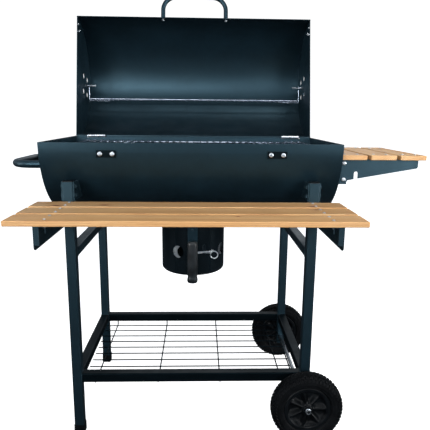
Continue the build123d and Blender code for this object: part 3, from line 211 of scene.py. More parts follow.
class Effects:
    """The shader node groups that several finishes share, each built once."""

    growth_ring: float = 0.0036
    grain_wander: float = 0.050

    def __init__(self) -> None:
        """Builds all the groups."""
        self.mottle = self._mottle()
        self.orange_peel = self._orange_peel()
        self.edge_wear = self._edge_wear()
        self.settled_dust = self._settled_dust()
        self.drawn_streaks = self._drawn_streaks()
        self.wood_grain = self._wood_grain()
        self.knot = self._knot()

    @staticmethod
    def _mottle() -> bpy.types.NodeTree:
        """Broad, soft patches of two sizes, as in any sprayed or cast surface."""
        tree, g, start, end = open_group("mottle", [("Vector", "v"), ("Scale", "f")], [("Mask", "f")])
        broad = g.noise(start["Vector"], start["Scale"], 2.0)
        fine = g.noise(start["Vector"], g.math("MULTIPLY", start["Scale"], 7.0), 3.0, 0.6)
        both = g.math("ADD", g.math("MULTIPLY", broad, 0.65), g.math("MULTIPLY", fine, 0.35))
        g.feed(end["Mask"], g.remap(both, 0.32, 0.68))
        return tree

    @staticmethod
    def _orange_peel() -> bpy.types.NodeTree:
        """The small swells of baked powder, with a finer grit on top."""
        tree, g, start, end = open_group("orange_peel", [("Vector", "v"), ("Scale", "f")], [("Height", "f")])
        swell = g.noise(start["Vector"], start["Scale"], 1.0)
        grit = g.noise(start["Vector"], g.math("MULTIPLY", start["Scale"], 4.5), 2.0, 0.6)
        g.feed(end["Height"], g.math("ADD", g.math("MULTIPLY", swell, 0.75), g.math("MULTIPLY", grit, 0.25)))
        return tree

    @staticmethod
    def _edge_wear() -> bpy.types.NodeTree:
        """A broken line along sharp edges, where a finish is thin or worn; the same mask also paints a bright
        edge highlight.
        """
        tree, g, start, end = open_group("edge_wear", [("Vector", "v"), ("Radius", "f"), ("Amount", "f")],
                                         [("Mask", "f")])
        rounded = g.node("ShaderNodeBevel", samples=4)
        g.feed(rounded.inputs["Radius"], start["Radius"])
        flat = g.node("ShaderNodeNewGeometry")
        same = g.dot(rounded.outputs["Normal"], flat.outputs["Normal"])
        edge = g.remap(g.math("SUBTRACT", 1.0, same), 0.015, 0.16)
        broken = g.remap(g.noise(start["Vector"], 160.0, 3.0, 0.6), 0.30, 0.62)
        g.feed(end["Mask"], g.math("MULTIPLY", g.math("MULTIPLY", edge, broken), start["Amount"], clamp=True))
        return tree

    @staticmethod
    def _settled_dust() -> bpy.types.NodeTree:
        """A patchy film that lies on what faces up while the piece is at rest."""
        tree, g, start, end = open_group("settled_dust", [("Vector", "v"), ("Amount", "f")], [("Mask", "f")])
        _, _, up = g.split(g.node("ShaderNodeTexCoord").outputs["Normal"])
        faces_up = g.remap(up, 0.35, 1.0)
        patches = g.remap(g.noise(start["Vector"], 38.0, 4.0, 0.62), 0.36, 0.72)
        film = g.math("MULTIPLY", faces_up, patches)
        g.feed(end["Mask"], g.math("MULTIPLY", film, start["Amount"], clamp=True))
        return tree

    @staticmethod
    def _drawn_streaks() -> bpy.types.NodeTree:
        """Fine lines along a wire or a rolled strip, with a few plating freckles."""
        tree, g, start, end = open_group("drawn_streaks", [("Vector", "v"), ("Stretch", "v")],
                                         [("Lines", "f"), ("Freckles", "f")])
        lines = g.noise(g.vector("MULTIPLY", start["Vector"], start["Stretch"]), 1.0, 3.0, 0.6)
        freckles = g.remap(g.noise(start["Vector"], 620.0, 2.0), 0.60, 0.70)
        g.feed(end["Lines"], g.remap(lines, 0.30, 0.70))
        g.feed(end["Freckles"], freckles)
        return tree

    def _wood_grain(self) -> bpy.types.NodeTree:
        """Plain-sawn softwood: late-wood lines round a pith below the board, and fine fibres along it."""
        tree, g, start, end = open_group("wood_grain", [("Vector", "v"), ("Swell", "f"), ("Pith", "v")],
                                         [("Late", "f"), ("Fibre", "f"), ("Tone", "f"), ("Height", "f")])
        along, across, deep = g.split(start["Vector"])
        pith_along, pith_across, pith_deep = g.split(start["Pith"])
        shifted = g.math("ADD", along, pith_along)
        slow = g.join(g.math("MULTIPLY", shifted, 2.4), g.math("MULTIPLY", across, 5.0), pith_deep)
        wander = g.math("MULTIPLY", g.math("SUBTRACT", g.noise(slow, 1.0, 2.0), 0.5), self.grain_wander)
        side = g.math("ADD", g.math("ADD", across, pith_across), wander)
        down = g.math("ADD", deep, pith_deep)
        reach = g.math("SQRT", g.math("ADD", g.math("MULTIPLY", side, side), g.math("MULTIPLY", down, down)))
        reach = g.math("ADD", reach, start["Swell"])
        rings = g.math("FRACT", g.math("DIVIDE", reach, self.growth_ring))
        late = g.math("MULTIPLY", g.remap(rings, 0.30, 0.86), g.remap(rings, 1.0, 0.92))
        stretched = g.join(g.math("MULTIPLY", shifted, 9.0), g.math("MULTIPLY", across, 900.0),
                           g.math("MULTIPLY", deep, 900.0))
        fibre = g.noise(stretched, 1.0, 3.0, 0.6)
        broad = g.join(g.math("MULTIPLY", shifted, 1.7), g.math("MULTIPLY", across, 22.0), pith_across)
        g.feed(end["Late"], late)
        g.feed(end["Fibre"], g.remap(fibre, 0.32, 0.68))
        g.feed(end["Tone"], g.remap(g.noise(broad, 1.0, 2.0), 0.34, 0.66))
        g.feed(end["Height"], g.math("ADD", g.math("MULTIPLY", fibre, 0.7), g.math("MULTIPLY", late, 0.3)))
        return tree

    @staticmethod
    def _knot() -> bpy.types.NodeTree:
        """A knot: a dark heart, and a swell that bends the grain round it."""
        tree, g, start, end = open_group("knot", [("Vector", "v"), ("Centre", "v"), ("Size", "f")],
                                         [("Core", "f"), ("Halo", "f")])
        wobble = g.math("MULTIPLY", g.noise(start["Vector"], 130.0, 2.0), 0.35)
        along, across, _ = g.split(g.vector("SUBTRACT", start["Vector"], start["Centre"]))
        long_way = g.math("MULTIPLY", along, 0.62)
        square = g.math("ADD", g.math("MULTIPLY", long_way, long_way), g.math("MULTIPLY", across, across))
        reach = g.math("DIVIDE", g.math("SQRT", square), start["Size"])
        reach = g.math("ADD", reach, wobble)
        g.feed(end["Core"], g.remap(reach, 1.15, 0.55))
        g.feed(end["Halo"], g.remap(reach, 3.2, 0.4))
        return tree


# ---- finishes --------------------------------------------------------------------------------------
@dataclass(frozen=True)
class Finish:
    """What every finish has: a name and a Principled material that is made once."""

    name: str

    def material(self, effects: Effects) -> bpy.types.Material:
        """The finish's material, built on its first use.

        Args:
            effects: the shared node groups.
        Returns:
            The material.
        """
        found = bpy.data.materials.get("finish_" + self.name)
        if found:
            return found
        made = bpy.data.materials.new("finish_" + self.name)
        made.use_nodes = True
        graph = Graph(made.node_tree)
        shader = made.node_tree.nodes["Principled BSDF"]
        where = graph.node("ShaderNodeTexCoord").outputs["Object"]
        self.dress(graph, shader.inputs, where, effects)
        return made

    def dress(self, g: Graph, shader: object, where: Socket, effects: Effects) -> None:
        """Joins the finish's nodes to the shader's inputs."""
        raise NotImplementedError


@dataclass(frozen=True)
class PowderCoat(Finish):
    """Satin black powder coat with a blue cast, orange peel and bright edges that are partly wear and partly
    a painted rim highlight.
    """

    deep: Rgb = (0.0028, 0.0068, 0.0098)
    lit: Rgb = (0.0062, 0.0150, 0.0215)
    worn_edge_and_highlight: Rgb = (0.040, 0.062, 0.075)
    dust: Rgb = (0.060, 0.066, 0.070)
    tint: Rgb = (0.42, 0.78, 1.00)
    gloss: Tuple[float, float] = (0.34, 0.42)
    shine: float = 0.55

    def dress(self, g: Graph, shader: object, where: Socket, effects: Effects) -> None:
        """Joins the finish's nodes to the shader's inputs."""
        patch = g.place(effects.mottle, vector=where, scale=9.0).outputs["Mask"]
        edge = g.place(effects.edge_wear, vector=where, radius=1.3 * MM, amount=0.55).outputs["Mask"]
        dust = g.place(effects.settled_dust, vector=where, amount=0.10).outputs["Mask"]
        height = g.place(effects.orange_peel, vector=where, scale=420.0).outputs["Height"]
        colour = g.blend(patch, self.deep, self.lit)
        # Painted highlight: the bright edge colour stands partly for wear and partly for a rim highlight.
        colour = g.blend(edge, colour, self.worn_edge_and_highlight)
        g.feed(shader["Base Color"], g.blend(dust, colour, self.dust))
        rough = g.remap(patch, 0.0, 1.0, self.gloss[1], self.gloss[0])
        g.feed(shader["Roughness"], g.math("ADD", rough, g.math("MULTIPLY", dust, 0.8), clamp=True))
        g.feed(shader["Normal"], g.bump(height, 0.22, 0.25 * MM))
        shader["Specular IOR Level"].default_value = self.shine
        shader["Specular Tint"].default_value = (*self.tint, 1.0)


@dataclass(frozen=True)
class GlossEnamel(Finish):
    """Fired black enamel with long ripples under a clear, glassy skin."""

    deep: Rgb = (0.0012, 0.0024, 0.0034)
    lit: Rgb = (0.0034, 0.0062, 0.0085)
    speck: Rgb = (0.012, 0.018, 0.024)

    def dress(self, g: Graph, shader: object, where: Socket, effects: Effects) -> None:
        """Joins the finish's nodes to the shader's inputs."""
        patch = g.place(effects.mottle, vector=where, scale=14.0).outputs["Mask"]
        pits = g.remap(g.noise(where, 520.0, 1.0), 0.74, 0.80)
        colour = g.blend(patch, self.deep, self.lit)
        g.feed(shader["Base Color"], g.blend(pits, colour, self.speck))
        g.feed(shader["Roughness"], g.remap(patch, 0.0, 1.0, 0.20, 0.13))
        g.feed(shader["Coat Weight"], g.remap(pits, 0.0, 1.0, 0.6, 0.2))
        ripple = g.place(effects.orange_peel, vector=where, scale=75.0).outputs["Height"]
        g.feed(shader["Normal"], g.bump(ripple, 0.10, 0.4 * MM))
        shader["Coat Roughness"].default_value = 0.06
        shader["Specular Tint"].default_value = (0.62, 0.85, 1.0, 1.0)


@dataclass(frozen=True)
class PlatedSteel(Finish):
    """Bright plated steel: drawn lines, freckles in the plate and darker patches."""

    bright: Rgb = (0.70, 0.73, 0.76)
    dull: Rgb = (0.42, 0.46, 0.50)
    gloss: Tuple[float, float] = (0.20, 0.34)
    stretch: Tuple[float, float, float] = (90.0, 90.0, 900.0)
    wear: float = 0.5

    def dress(self, g: Graph, shader: object, where: Socket, effects: Effects) -> None:
        """Joins the finish's nodes to the shader's inputs."""
        drawn = g.place(effects.drawn_streaks, vector=where, stretch=self.stretch)
        patch = g.place(effects.mottle, vector=where, scale=55.0).outputs["Mask"]
        edge = g.place(effects.edge_wear, vector=where, radius=0.5 * MM, amount=self.wear).outputs["Mask"]
        tone = g.math("MULTIPLY", patch, drawn.outputs["Lines"])
        colour = g.blend(tone, self.dull, self.bright)
        colour = g.blend(g.math("MULTIPLY", drawn.outputs["Freckles"], 0.4), colour, self.dull)
        g.feed(shader["Base Color"], g.blend(edge, colour, self.bright))
        rough = g.remap(tone, 0.0, 1.0, self.gloss[1], self.gloss[0])
        g.feed(shader["Roughness"], g.math("SUBTRACT", rough, g.math("MULTIPLY", edge, 0.06)))
        g.feed(shader["Normal"], g.bump(drawn.outputs["Lines"], 0.12, 0.08 * MM))
        shader["Metallic"].default_value = 1.0


@dataclass(frozen=True)
class Rubber(Finish):
    """Matt black tyre rubber, greyed by dust in patches and scuffed on its edges."""

    deep: Rgb = (0.0010, 0.0013, 0.0017)
    grey: Rgb = (0.0034, 0.0042, 0.0052)
    scuff: Rgb = (0.013, 0.016, 0.019)

    def dress(self, g: Graph, shader: object, where: Socket, effects: Effects) -> None:
        """Joins the finish's nodes to the shader's inputs."""
        patch = g.place(effects.mottle, vector=where, scale=45.0).outputs["Mask"]
        edge = g.place(effects.edge_wear, vector=where, radius=1.0 * MM, amount=0.5).outputs["Mask"]
        colour = g.blend(patch, self.deep, self.grey)
        g.feed(shader["Base Color"], g.blend(edge, colour, self.scuff))
        g.feed(shader["Roughness"], g.remap(patch, 0.0, 1.0, 0.52, 0.72))
        grit = g.place(effects.orange_peel, vector=where, scale=700.0).outputs["Height"]
        g.feed(shader["Normal"], g.bump(grit, 0.35, 0.3 * MM))
        shader["Specular IOR Level"].default_value = 0.10


@dataclass(frozen=True)
class MouldedPlastic(Finish):
    """Black moulded plastic with a fine spark texture."""

    deep: Rgb = (0.0012, 0.0018, 0.0024)
    lit: Rgb = (0.0036, 0.0050, 0.0064)
    worn_edge_and_highlight: Rgb = (0.014, 0.019, 0.023)
    gloss: Tuple[float, float] = (0.34, 0.46)
    shine: float = 0.14
    spark: float = 0.22

    def dress(self, g: Graph, shader: object, where: Socket, effects: Effects) -> None:
        """Joins the finish's nodes to the shader's inputs."""
        patch = g.place(effects.mottle, vector=where, scale=32.0).outputs["Mask"]
        edge = g.place(effects.edge_wear, vector=where, radius=0.9 * MM, amount=0.45).outputs["Mask"]
        colour = g.blend(patch, self.deep, self.lit)
        g.feed(shader["Base Color"], g.blend(edge, colour, self.worn_edge_and_highlight))
        g.feed(shader["Roughness"], g.remap(patch, 0.0, 1.0, self.gloss[0], self.gloss[1]))
        spark = g.place(effects.orange_peel, vector=where, scale=950.0).outputs["Height"]
        g.feed(shader["Normal"], g.bump(spark, self.spark, 0.2 * MM))
        shader["Specular IOR Level"].default_value = self.shine


@dataclass(frozen=True)
class Knot:
    """A knot in a slat, placed from the slat's middle."""

    along: float
    across: float
    size: float


class Run(Enum):
    """Which way a slat's grain runs."""

    LEFT_RIGHT = "x"
    FRONT_REAR = "y"


@dataclass(frozen=True)
class OiledPine(Finish):
    """Oiled softwood with its own pith and knots; a shade value under 1 darkens and greys the upper face as
    painted shade.
    """

    middle: Point = (0.0, 0.0, 0.0)
    run: Run = Run.LEFT_RIGHT
    pith: Point = (0.0, 0.0, 0.05)
    knots: Tuple[Knot, ...] = ()
    top_tone: float = 1.0
    pale: Rgb = (0.700, 0.440, 0.205)
    honey: Rgb = (0.610, 0.335, 0.130)
    late: Rgb = (0.430, 0.190, 0.066)
    heart: Rgb = (0.150, 0.034, 0.016)
    top_shade_tint: Rgb = (0.56, 0.60, 0.66)

    def dress(self, g: Graph, shader: object, where: Socket, effects: Effects) -> None:
        """Joins the finish's nodes to the shader's inputs."""
        x, y, z = g.split(g.vector("SUBTRACT", where, self.middle))
        board = g.join(x, y, z) if self.run is Run.LEFT_RIGHT else g.join(y, x, z)
        core = None
        halo = None
        for spot in self.knots:
            knot = g.place(effects.knot, vector=board, centre=(spot.along, spot.across, 0.0), size=spot.size)
            core = knot.outputs["Core"] if core is None else g.math("MAXIMUM", core, knot.outputs["Core"])
            halo = knot.outputs["Halo"] if halo is None else g.math("MAXIMUM", halo, knot.outputs["Halo"])
        swell = g.math("MULTIPLY", halo, 0.014) if halo else 0.0
        grain = g.place(effects.wood_grain, vector=board, swell=swell, pith=self.pith)
        colour = g.blend(grain.outputs["Tone"], self.pale, self.honey)
        colour = g.blend(g.math("MULTIPLY", grain.outputs["Late"], 0.62), colour, self.late)
        colour = g.blend(g.math("MULTIPLY", grain.outputs["Fibre"], 0.22), colour, self.late)
        if core:
            colour = g.blend(g.math("MULTIPLY", halo, 0.55), colour, self.late)
            colour = g.blend(core, colour, self.heart)
        edge = g.place(effects.edge_wear, vector=where, radius=1.4 * MM, amount=0.4).outputs["Mask"]
        colour = g.blend(edge, colour, self.pale)
        # Painted shade: the upper face is multiplied towards grey-blue, more so the lower the shade value.
        _, _, up = g.split(g.node("ShaderNodeTexCoord").outputs["Normal"])
        top_shade_mask = g.math("MULTIPLY", g.remap(up, 0.5, 0.95), 1.0 - self.top_tone)
        g.feed(shader["Base Color"], g.blend(top_shade_mask, colour, self.top_shade_tint, "MULTIPLY"))
        g.feed(shader["Roughness"], g.remap(grain.outputs["Late"], 0.0, 1.0, 0.52, 0.40))
        g.feed(shader["Normal"], g.bump(grain.outputs["Height"], 0.35, 0.35 * MM))
        shader["Specular IOR Level"].default_value = 0.40


FINISHES = {
    "powder_coat": PowderCoat("powder_coat"),
    "gloss_enamel": GlossEnamel("gloss_enamel"),
    "zinc": PlatedSteel("zinc"),
    "chrome_wire": PlatedSteel("chrome_wire", bright=(0.62, 0.68, 0.78), dull=(0.26, 0.30, 0.37),
                               gloss=(0.12, 0.22), stretch=(60.0, 900.0, 900.0)),
    "iron_wire": PlatedSteel("iron_wire", bright=(0.20, 0.21, 0.22), dull=(0.09, 0.095, 0.10),
                             gloss=(0.38, 0.55), stretch=(700.0, 60.0, 700.0)),
    "tyre_rubber": Rubber("tyre_rubber"),
    "black_plastic": MouldedPlastic("black_plastic"),
    "grip_plastic": MouldedPlastic("grip_plastic", lit=(0.008, 0.013, 0.017), gloss=(0.30, 0.42),
                                   spark=0.3, shine=0.5),
}


# ---- mesh helpers ----------------------------------------------------------------------------------
def round_steps(count: int) -> List[Tuple[float, float]]:
    """Cosine and sine of even steps round a circle."""
    return [(math.cos(TAU * k / count), math.sin(TAU * k / count)) for k in range(count)]


def squared(share: float, power: float) -> float:
    """A cosine or sine drawn out towards a square's side."""
    return math.copysign(abs(share) ** power, share)


class Piece:
    """One mesh piece while its faces are gathered."""

    def __init__(self) -> None:
        """Starts an empty mesh."""
        self.bm = bmesh.new()

    def loops(self, rings: Sequence[Sequence[Vector]], around: bool, closed: bool) -> None:
        """Skins rows of points.

        Args:
            rings: rows of the same number of points.
            around: whether each row closes on itself.
            closed: whether the last row joins the first.
        """
        rows = [[self.bm.verts.new(p) for p in ring] for ring in rings]
        count = len(rows)
        width = len(rows[0])
        for k in range(count if closed else count - 1):
            a, b = rows[k], rows[(k + 1) % count]
            for i in range(width if around else width - 1):
                j = (i + 1) % width
                self.bm.faces.new((a[i], a[j], b[j], b[i]))
        if around and not closed:
            self.bm.faces.new(list(reversed(rows[0])))
            self.bm.faces.new(rows[-1])

    def revolve(self, profile: Sequence[Tuple[float, float]], place: Matrix, turns: int, ring: bool) -> None:
        """Turns a profile of (radius, height) about local Z.

        Args:
            profile: the points, from one end to the other.
            place: where the axis stands.
            turns: how many steps make the circle.
            ring: whether the profile closes on itself.
        """
        rows = [[place @ Vector((r * c, r * s, h)) for r, h in profile] for c, s in round_steps(turns)]
        verts = [[self.bm.verts.new(p) for p in row] for row in rows]
        last = len(profile) if ring else len(profile) - 1
        for k in range(turns):
            a, b = verts[k], verts[(k + 1) % turns]
            for i in range(last):
                j = (i + 1) % len(profile)
                self.bm.faces.new((a[i], b[i], b[j], a[j]))

    def field(self, place: Matrix, radii: Sequence[float], turns: int,
              height: Callable[[float, float], float]) -> None:
        """A round surface whose height depends on radius and angle.

        Args:
            place: where its axis stands.
            radii: the circles' radii, from the smallest.
            turns: how many steps make each circle.
            height: gives local Z from a radius and an angle.
        """
        rows = []
        for r in radii:
            row = []
            for k in range(turns):
                angle = TAU * k / turns
                row.append(place @ Vector((r * math.cos(angle), r * math.sin(angle), height(r, angle))))
            rows.append(row)
        verts = [[self.bm.verts.new(p) for p in row] for row in rows]
        for a, b in zip(verts, verts[1:]):
            for i in range(turns):
                j = (i + 1) % turns
                self.bm.faces.new((a[i], b[i], b[j], a[j]))

    def tube(self, path: Sequence[Vector], radius: Callable[[float], float], sides: int,
             closed: bool = False) -> None:
        """A round bar along a path.

        Args:
            path: the points it follows.
            radius: gives the radius from the length so far.
            sides: how many sides its section has.
            closed: whether the path is a loop.
        """
        count = len(path)
        rings = []
        normal = None
        travelled = 0.0
        for i, point in enumerate(path):
            ahead = path[(i + 1) % count] if closed or i + 1 < count else point
            behind = path[i - 1] if closed or i > 0 else point
            tangent = (ahead - behind).normalized()
            if normal is None:
                normal = tangent.orthogonal().normalized()
            normal = (normal - tangent * normal.dot(tangent)).normalized()
            side = tangent.cross(normal)
            if i:
                travelled += (point - path[i - 1]).length
            r = radius(travelled)
            rings.append([point + normal * (r * c) + side * (r * s) for c, s in round_steps(sides)])
        self.loops(rings, True, closed)

    def block(self, place: Matrix, size: Vector, taper: float = 1.0, bevel: float = 0.0) -> None:
        """A box centred on local X and Y that stands on local Z = 0, narrower at its top.

        Args:
            place: where it stands.
            size: its three lengths.
            taper: the top's share of the base.
            bevel: how much its edges are cut.
        """
        corners = []
        for level, share in ((0.0, 1.0), (size.z, taper)):
            for sx, sy in SQUARE:
                corners.append(Vector((sx * size.x * share / 2, sy * size.y * share / 2, level)))
        v = [self.bm.verts.new(place @ c) for c in corners]
        faces = [self.bm.faces.new([v[i] for i in ids]) for ids in
                 ((3, 2, 1, 0), (4, 5, 6, 7), (0, 1, 5, 4), (1, 2, 6, 5), (2, 3, 7, 6), (3, 0, 4, 7))]
        if bevel:
            edges = list({e for f in faces for e in f.edges})
            bmesh.ops.bevel(self.bm, geom=edges, offset=bevel, segments=2, affect="EDGES", profile=0.6)

    def finish(self, name: str, finish: Finish, effects: Effects, sharp: float = 38.0) -> bpy.types.Object:
        """Makes the object.

        Args:
            name: the piece's name.
            finish: its finish.
            effects: the shared node groups.
            sharp: edges that turn more than this many degrees stay crisp.
        Returns:
            The new object, in the scene.
        """
        bmesh.ops.remove_doubles(self.bm, verts=self.bm.verts, dist=MERGE_DISTANCE)
        bmesh.ops.recalc_face_normals(self.bm, faces=self.bm.faces)
        mesh = bpy.data.meshes.new(name)
        self.bm.to_mesh(mesh)
        self.bm.free()
        mesh.shade_smooth()
        mesh.set_sharp_from_angle(angle=math.radians(sharp))
        mesh.materials.append(finish.material(effects))
        made = bpy.data.objects.new(name, mesh)
        bpy.context.scene.collection.objects.link(made)
        return made


def middle_of(corners: Corners) -> Vector:
    """The middle of a box."""
    return (corners[0] + corners[1]) / 2


def upright(point: Vector, direction: Vector) -> Matrix:
    """A place at point whose local Z is direction."""
    turn = Vector((0.0, 0.0, 1.0)).rotation_difference(direction.normalized()).to_matrix().to_4x4()
    return Matrix.Translation(point) @ turn


def islands(node: str) -> List[Corners]:
    """The box of each separate solid in a CAD node.

    Args:
        node: the node's name.
    Returns:
        The boxes, sorted by place so that the order never changes.
    """
    mesh = frame["nodes"][node].data
    spots: Dict[Point, int] = {}
    alias = []
    for v in mesh.vertices:
        key = tuple(round(c, 5) for c in v.co)
        alias.append(spots.setdefault(key, len(spots)))
    parent = list(range(len(spots)))

    def root(i: int) -> int:
        """The island that a spot belongs to so far."""
        while parent[i] != i:
            parent[i] = parent[parent[i]]
            i = parent[i]
        return i

    for polygon in mesh.polygons:
        first = root(alias[polygon.vertices[0]])
        for other in polygon.vertices[1:]:
            parent[root(alias[other])] = first
    found: Dict[int, List[Point]] = {}
    for key, index in spots.items():
        found.setdefault(root(index), []).append(key)
    boxes = []
    for points in found.values():
        low = Vector(min(p[a] for p in points) for a in range(3))
        high = Vector(max(p[a] for p in points) for a in range(3))
        boxes.append((low, high))
    return sorted(boxes, key=lambda b: tuple(round(c, 4) for c in b[0]))


def lid_angle() -> float:
    """How far the lid stands open at rest, in radians."""
    hinge = next(joint for joint in frame["joints"] if joint["name"] == "lid_hinge")
    return math.radians(max(abs(limit) for limit in hinge["range_deg"]))


def lid_point(across: float, height: float) -> Tuple[float, float]:
    """Y and Z of a point of the open lid.

    Args:
        across: its Y from the lid's axis while the lid is closed.
        height: its Z from that axis.
    Returns:
        Where it is with the lid at rest.
    """
    low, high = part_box("firebox_shell")
    pins = middle_of(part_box("hinge_pins"))
    axis_z = high.z + LID_AXIS_RISE
    closed = Vector((0.0, (low.y + high.y) / 2 + across - pins.y, axis_z + height - pins.z))
    opened = Matrix.Rotation(-lid_angle(), 4, "X") @ closed
    return pins.y + opened.y, pins.z + opened.z


@dataclass
class Assembly:
    """What every sub-assembly has: the body it rides on and the shared node groups."""

    effects: Effects
    body: str = "stand"

    def done(self, piece: Piece, name: str, slot: str, *replaced: str, body: str = "") -> bpy.types.Object:
        """Turns gathered faces into a piece that rides on a body.

        Args:
            piece: the gathered faces.
            name: the piece's name.
            slot: the record's material slot.
            replaced: CAD nodes that it stands for.
            body: the body it rides on, if not the assembly's own.
        Returns:
            The object.
        """
        made = piece.finish(name, FINISHES[slot], self.effects)
        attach(made, body or self.body)
        if replaced:
            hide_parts(*replaced)
        return made

    def build(self) -> Iterable[bpy.types.Object]:
        """Makes the pieces."""
        raise NotImplementedError


# ---- wheels ----------------------------------------------------------------------------------------
@dataclass
class Wheel(Assembly):
    """A block-tread tyre on a moulded seven-spoke centre."""

    end: str = "front"
    tread_depth: float = 2.6 * MM
    tread_count: int = 54
    tread_rows: Tuple[float, ...] = (-66.0, -42.0, -14.0, 14.0, 42.0, 66.0)
    tread_width: float = 7.6 * MM
    tread_slant: float = 16.0
    tread_root: float = 1.2 * MM
    wall_rings: Tuple[float, ...] = (92.0, 116.0)
    squareness: float = 2.7
    section_steps: int = 40
    turn_steps: int = 120
    spokes: int = 7
    lip: float = 3.0 * MM
    hub: float = 15.0 * MM
    bore: float = 5.3 * MM
    rim_wall: float = 7.0 * MM
    petal_depth: float = 11.0 * MM

    def place(self) -> Matrix:
        """The wheel's middle, with local Z pointing away from the grill."""
        outward = Vector((0.0, -1.0 if self.end == "front" else 1.0, 0.0))
        return upright(middle_of(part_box(f"tyre_{self.end}")), outward)

    def section(self, angle: float) -> Tuple[float, float]:
        """A point of the tyre's section, as radius and height; angle 0 is the middle of the tread."""
        low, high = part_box(f"tyre_{self.end}")
        rim_low, rim_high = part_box(f"rim_{self.end}")
        outer = (high.z - low.z) / 2 - self.tread_depth
        inner = (rim_high.z - rim_low.z) / 2 - 0.5 * MM
        power = 2.0 / self.squareness
        c, s = math.cos(angle), math.sin(angle)
        r = (outer + inner) / 2 + (outer - inner) / 2 * squared(c, power)
        h = (high.y - low.y) / 2 * squared(s, power) * 0.97
        return r, h

    def tyre(self) -> bpy.types.Object:
        """The carcass, its tread blocks, and raised rings on the side walls."""
        piece = Piece()
        place = self.place()
        steps = self.section_steps
        piece.revolve([self.section(TAU * k / steps) for k in range(steps)], place, self.turn_steps, True)
        for row, degrees in enumerate(self.tread_rows):
            self.tread_row(piece, place, math.radians(degrees), row)
        for angle in self.wall_rings:
            for side in (-1, 1):
                r, h = self.section(math.radians(angle) * side)
                ring = [(r + 1.0 * MM * c, h + 0.7 * MM * s) for c, s in round_steps(8)]
                piece.revolve(ring, place, self.turn_steps, True)
        return self.done(piece, f"tread_tyre_{self.end}", "tyre_rubber", f"tyre_{self.end}")

    def tread_row(self, piece: Piece, place: Matrix, angle: float, row: int) -> None:
        """One row of slanted blocks round the tyre.

        Args:
            piece: the tyre's faces.
            place: the wheel's place.
            angle: where the row lies on the section.
            row: the row's number; every second one is shifted by half a block.
        """
        r, h = self.section(angle)
        r2, h2 = self.section(angle + 0.02)
        across = Vector((r2 - r, 0.0, h2 - h)).normalized()
        outward = Vector((across.z, 0.0, -across.x))
        if outward.x < 0:
            outward.negate()
        pitch = TAU * r / self.tread_count
        slant = math.radians(self.tread_slant) * (1 if row % 2 else -1)
        axes = Matrix((Vector((0.0, 1.0, 0.0)), across, outward)).transposed().to_4x4()
        spot = Matrix.Translation(Vector((r, 0.0, h)) - outward * self.tread_root) @ axes
        spot = spot @ Matrix.Rotation(slant, 4, "Z")
        size = Vector((pitch * 0.66, self.tread_width, self.tread_depth + 1.1 * MM))
        for k in range(self.tread_count):
            turn = Matrix.Rotation(TAU * (k + 0.5 * (row % 2)) / self.tread_count, 4, "Z")
            piece.block(place @ turn @ spot, size, 0.80)

    def centre(self) -> bpy.types.Object:
        """The moulded centre: a lipped barrel, petals between the spokes, and a stepped hub."""
        piece = Piece()
        place = self.place()
        low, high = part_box(f"rim_{self.end}")
        outer = (high.z - low.z) / 2
        half = (high.y - low.y) / 2 - 4.0 * MM
        hub, bore, lip = self.hub, self.bore, self.lip
        inner = outer - self.rim_wall
        upper_edge = [(inner - 1.0 * MM, half - lip), (inner + 1.0 * MM, half - 0.5 * MM), (outer, half),
                      (outer + lip * 0.6, half - lip * 0.4), (outer, half - lip)]
        lower_edge = [(r, -h) for r, h in reversed(upper_edge)]
        piece.revolve(lower_edge + upper_edge, place, 96, True)
        crown = half + 3.0 * MM
        upper_steps = [(hub, crown - 6.5 * MM), (hub * 0.80, crown - 5 * MM), (hub * 0.80, crown - 1.2 * MM),
                       (hub * 0.72, crown), (bore, crown)]
        lower_steps = [(r, -h) for r, h in reversed(upper_steps)]
        piece.revolve(lower_steps + [(hub + 1.5 * MM, 0.0)] + upper_steps, place, 64, True)
        radii = [hub - 1.0 * MM + (inner - hub + 1.5 * MM) * k / 18 for k in range(19)]

        def petal(r: float, angle: float) -> float:
            """Height of the web: high on the spokes, low in the petals between them."""
            share = (r - hub) / (inner - hub)
            spoke = (0.5 + 0.5 * math.cos(self.spokes * angle)) ** (1.2 + 2.2 * share)
            edge = max(0.0, 1.0 - abs(2.0 * share - 1.0) ** 4)
            return half - 4.0 * MM - self.petal_depth * (1.0 - spoke) * edge

        for face in (1.0, -1.0):
            piece.field(place, radii, 14 * self.spokes, lambda r, angle, f=face: f * petal(r, angle))
        return self.done(piece, f"wheel_centre_{self.end}", "black_plastic", f"rim_{self.end}")

    def build(self) -> Iterable[bpy.types.Object]:
        """The tyre and its centre."""
        return [self.tyre(), self.centre()]


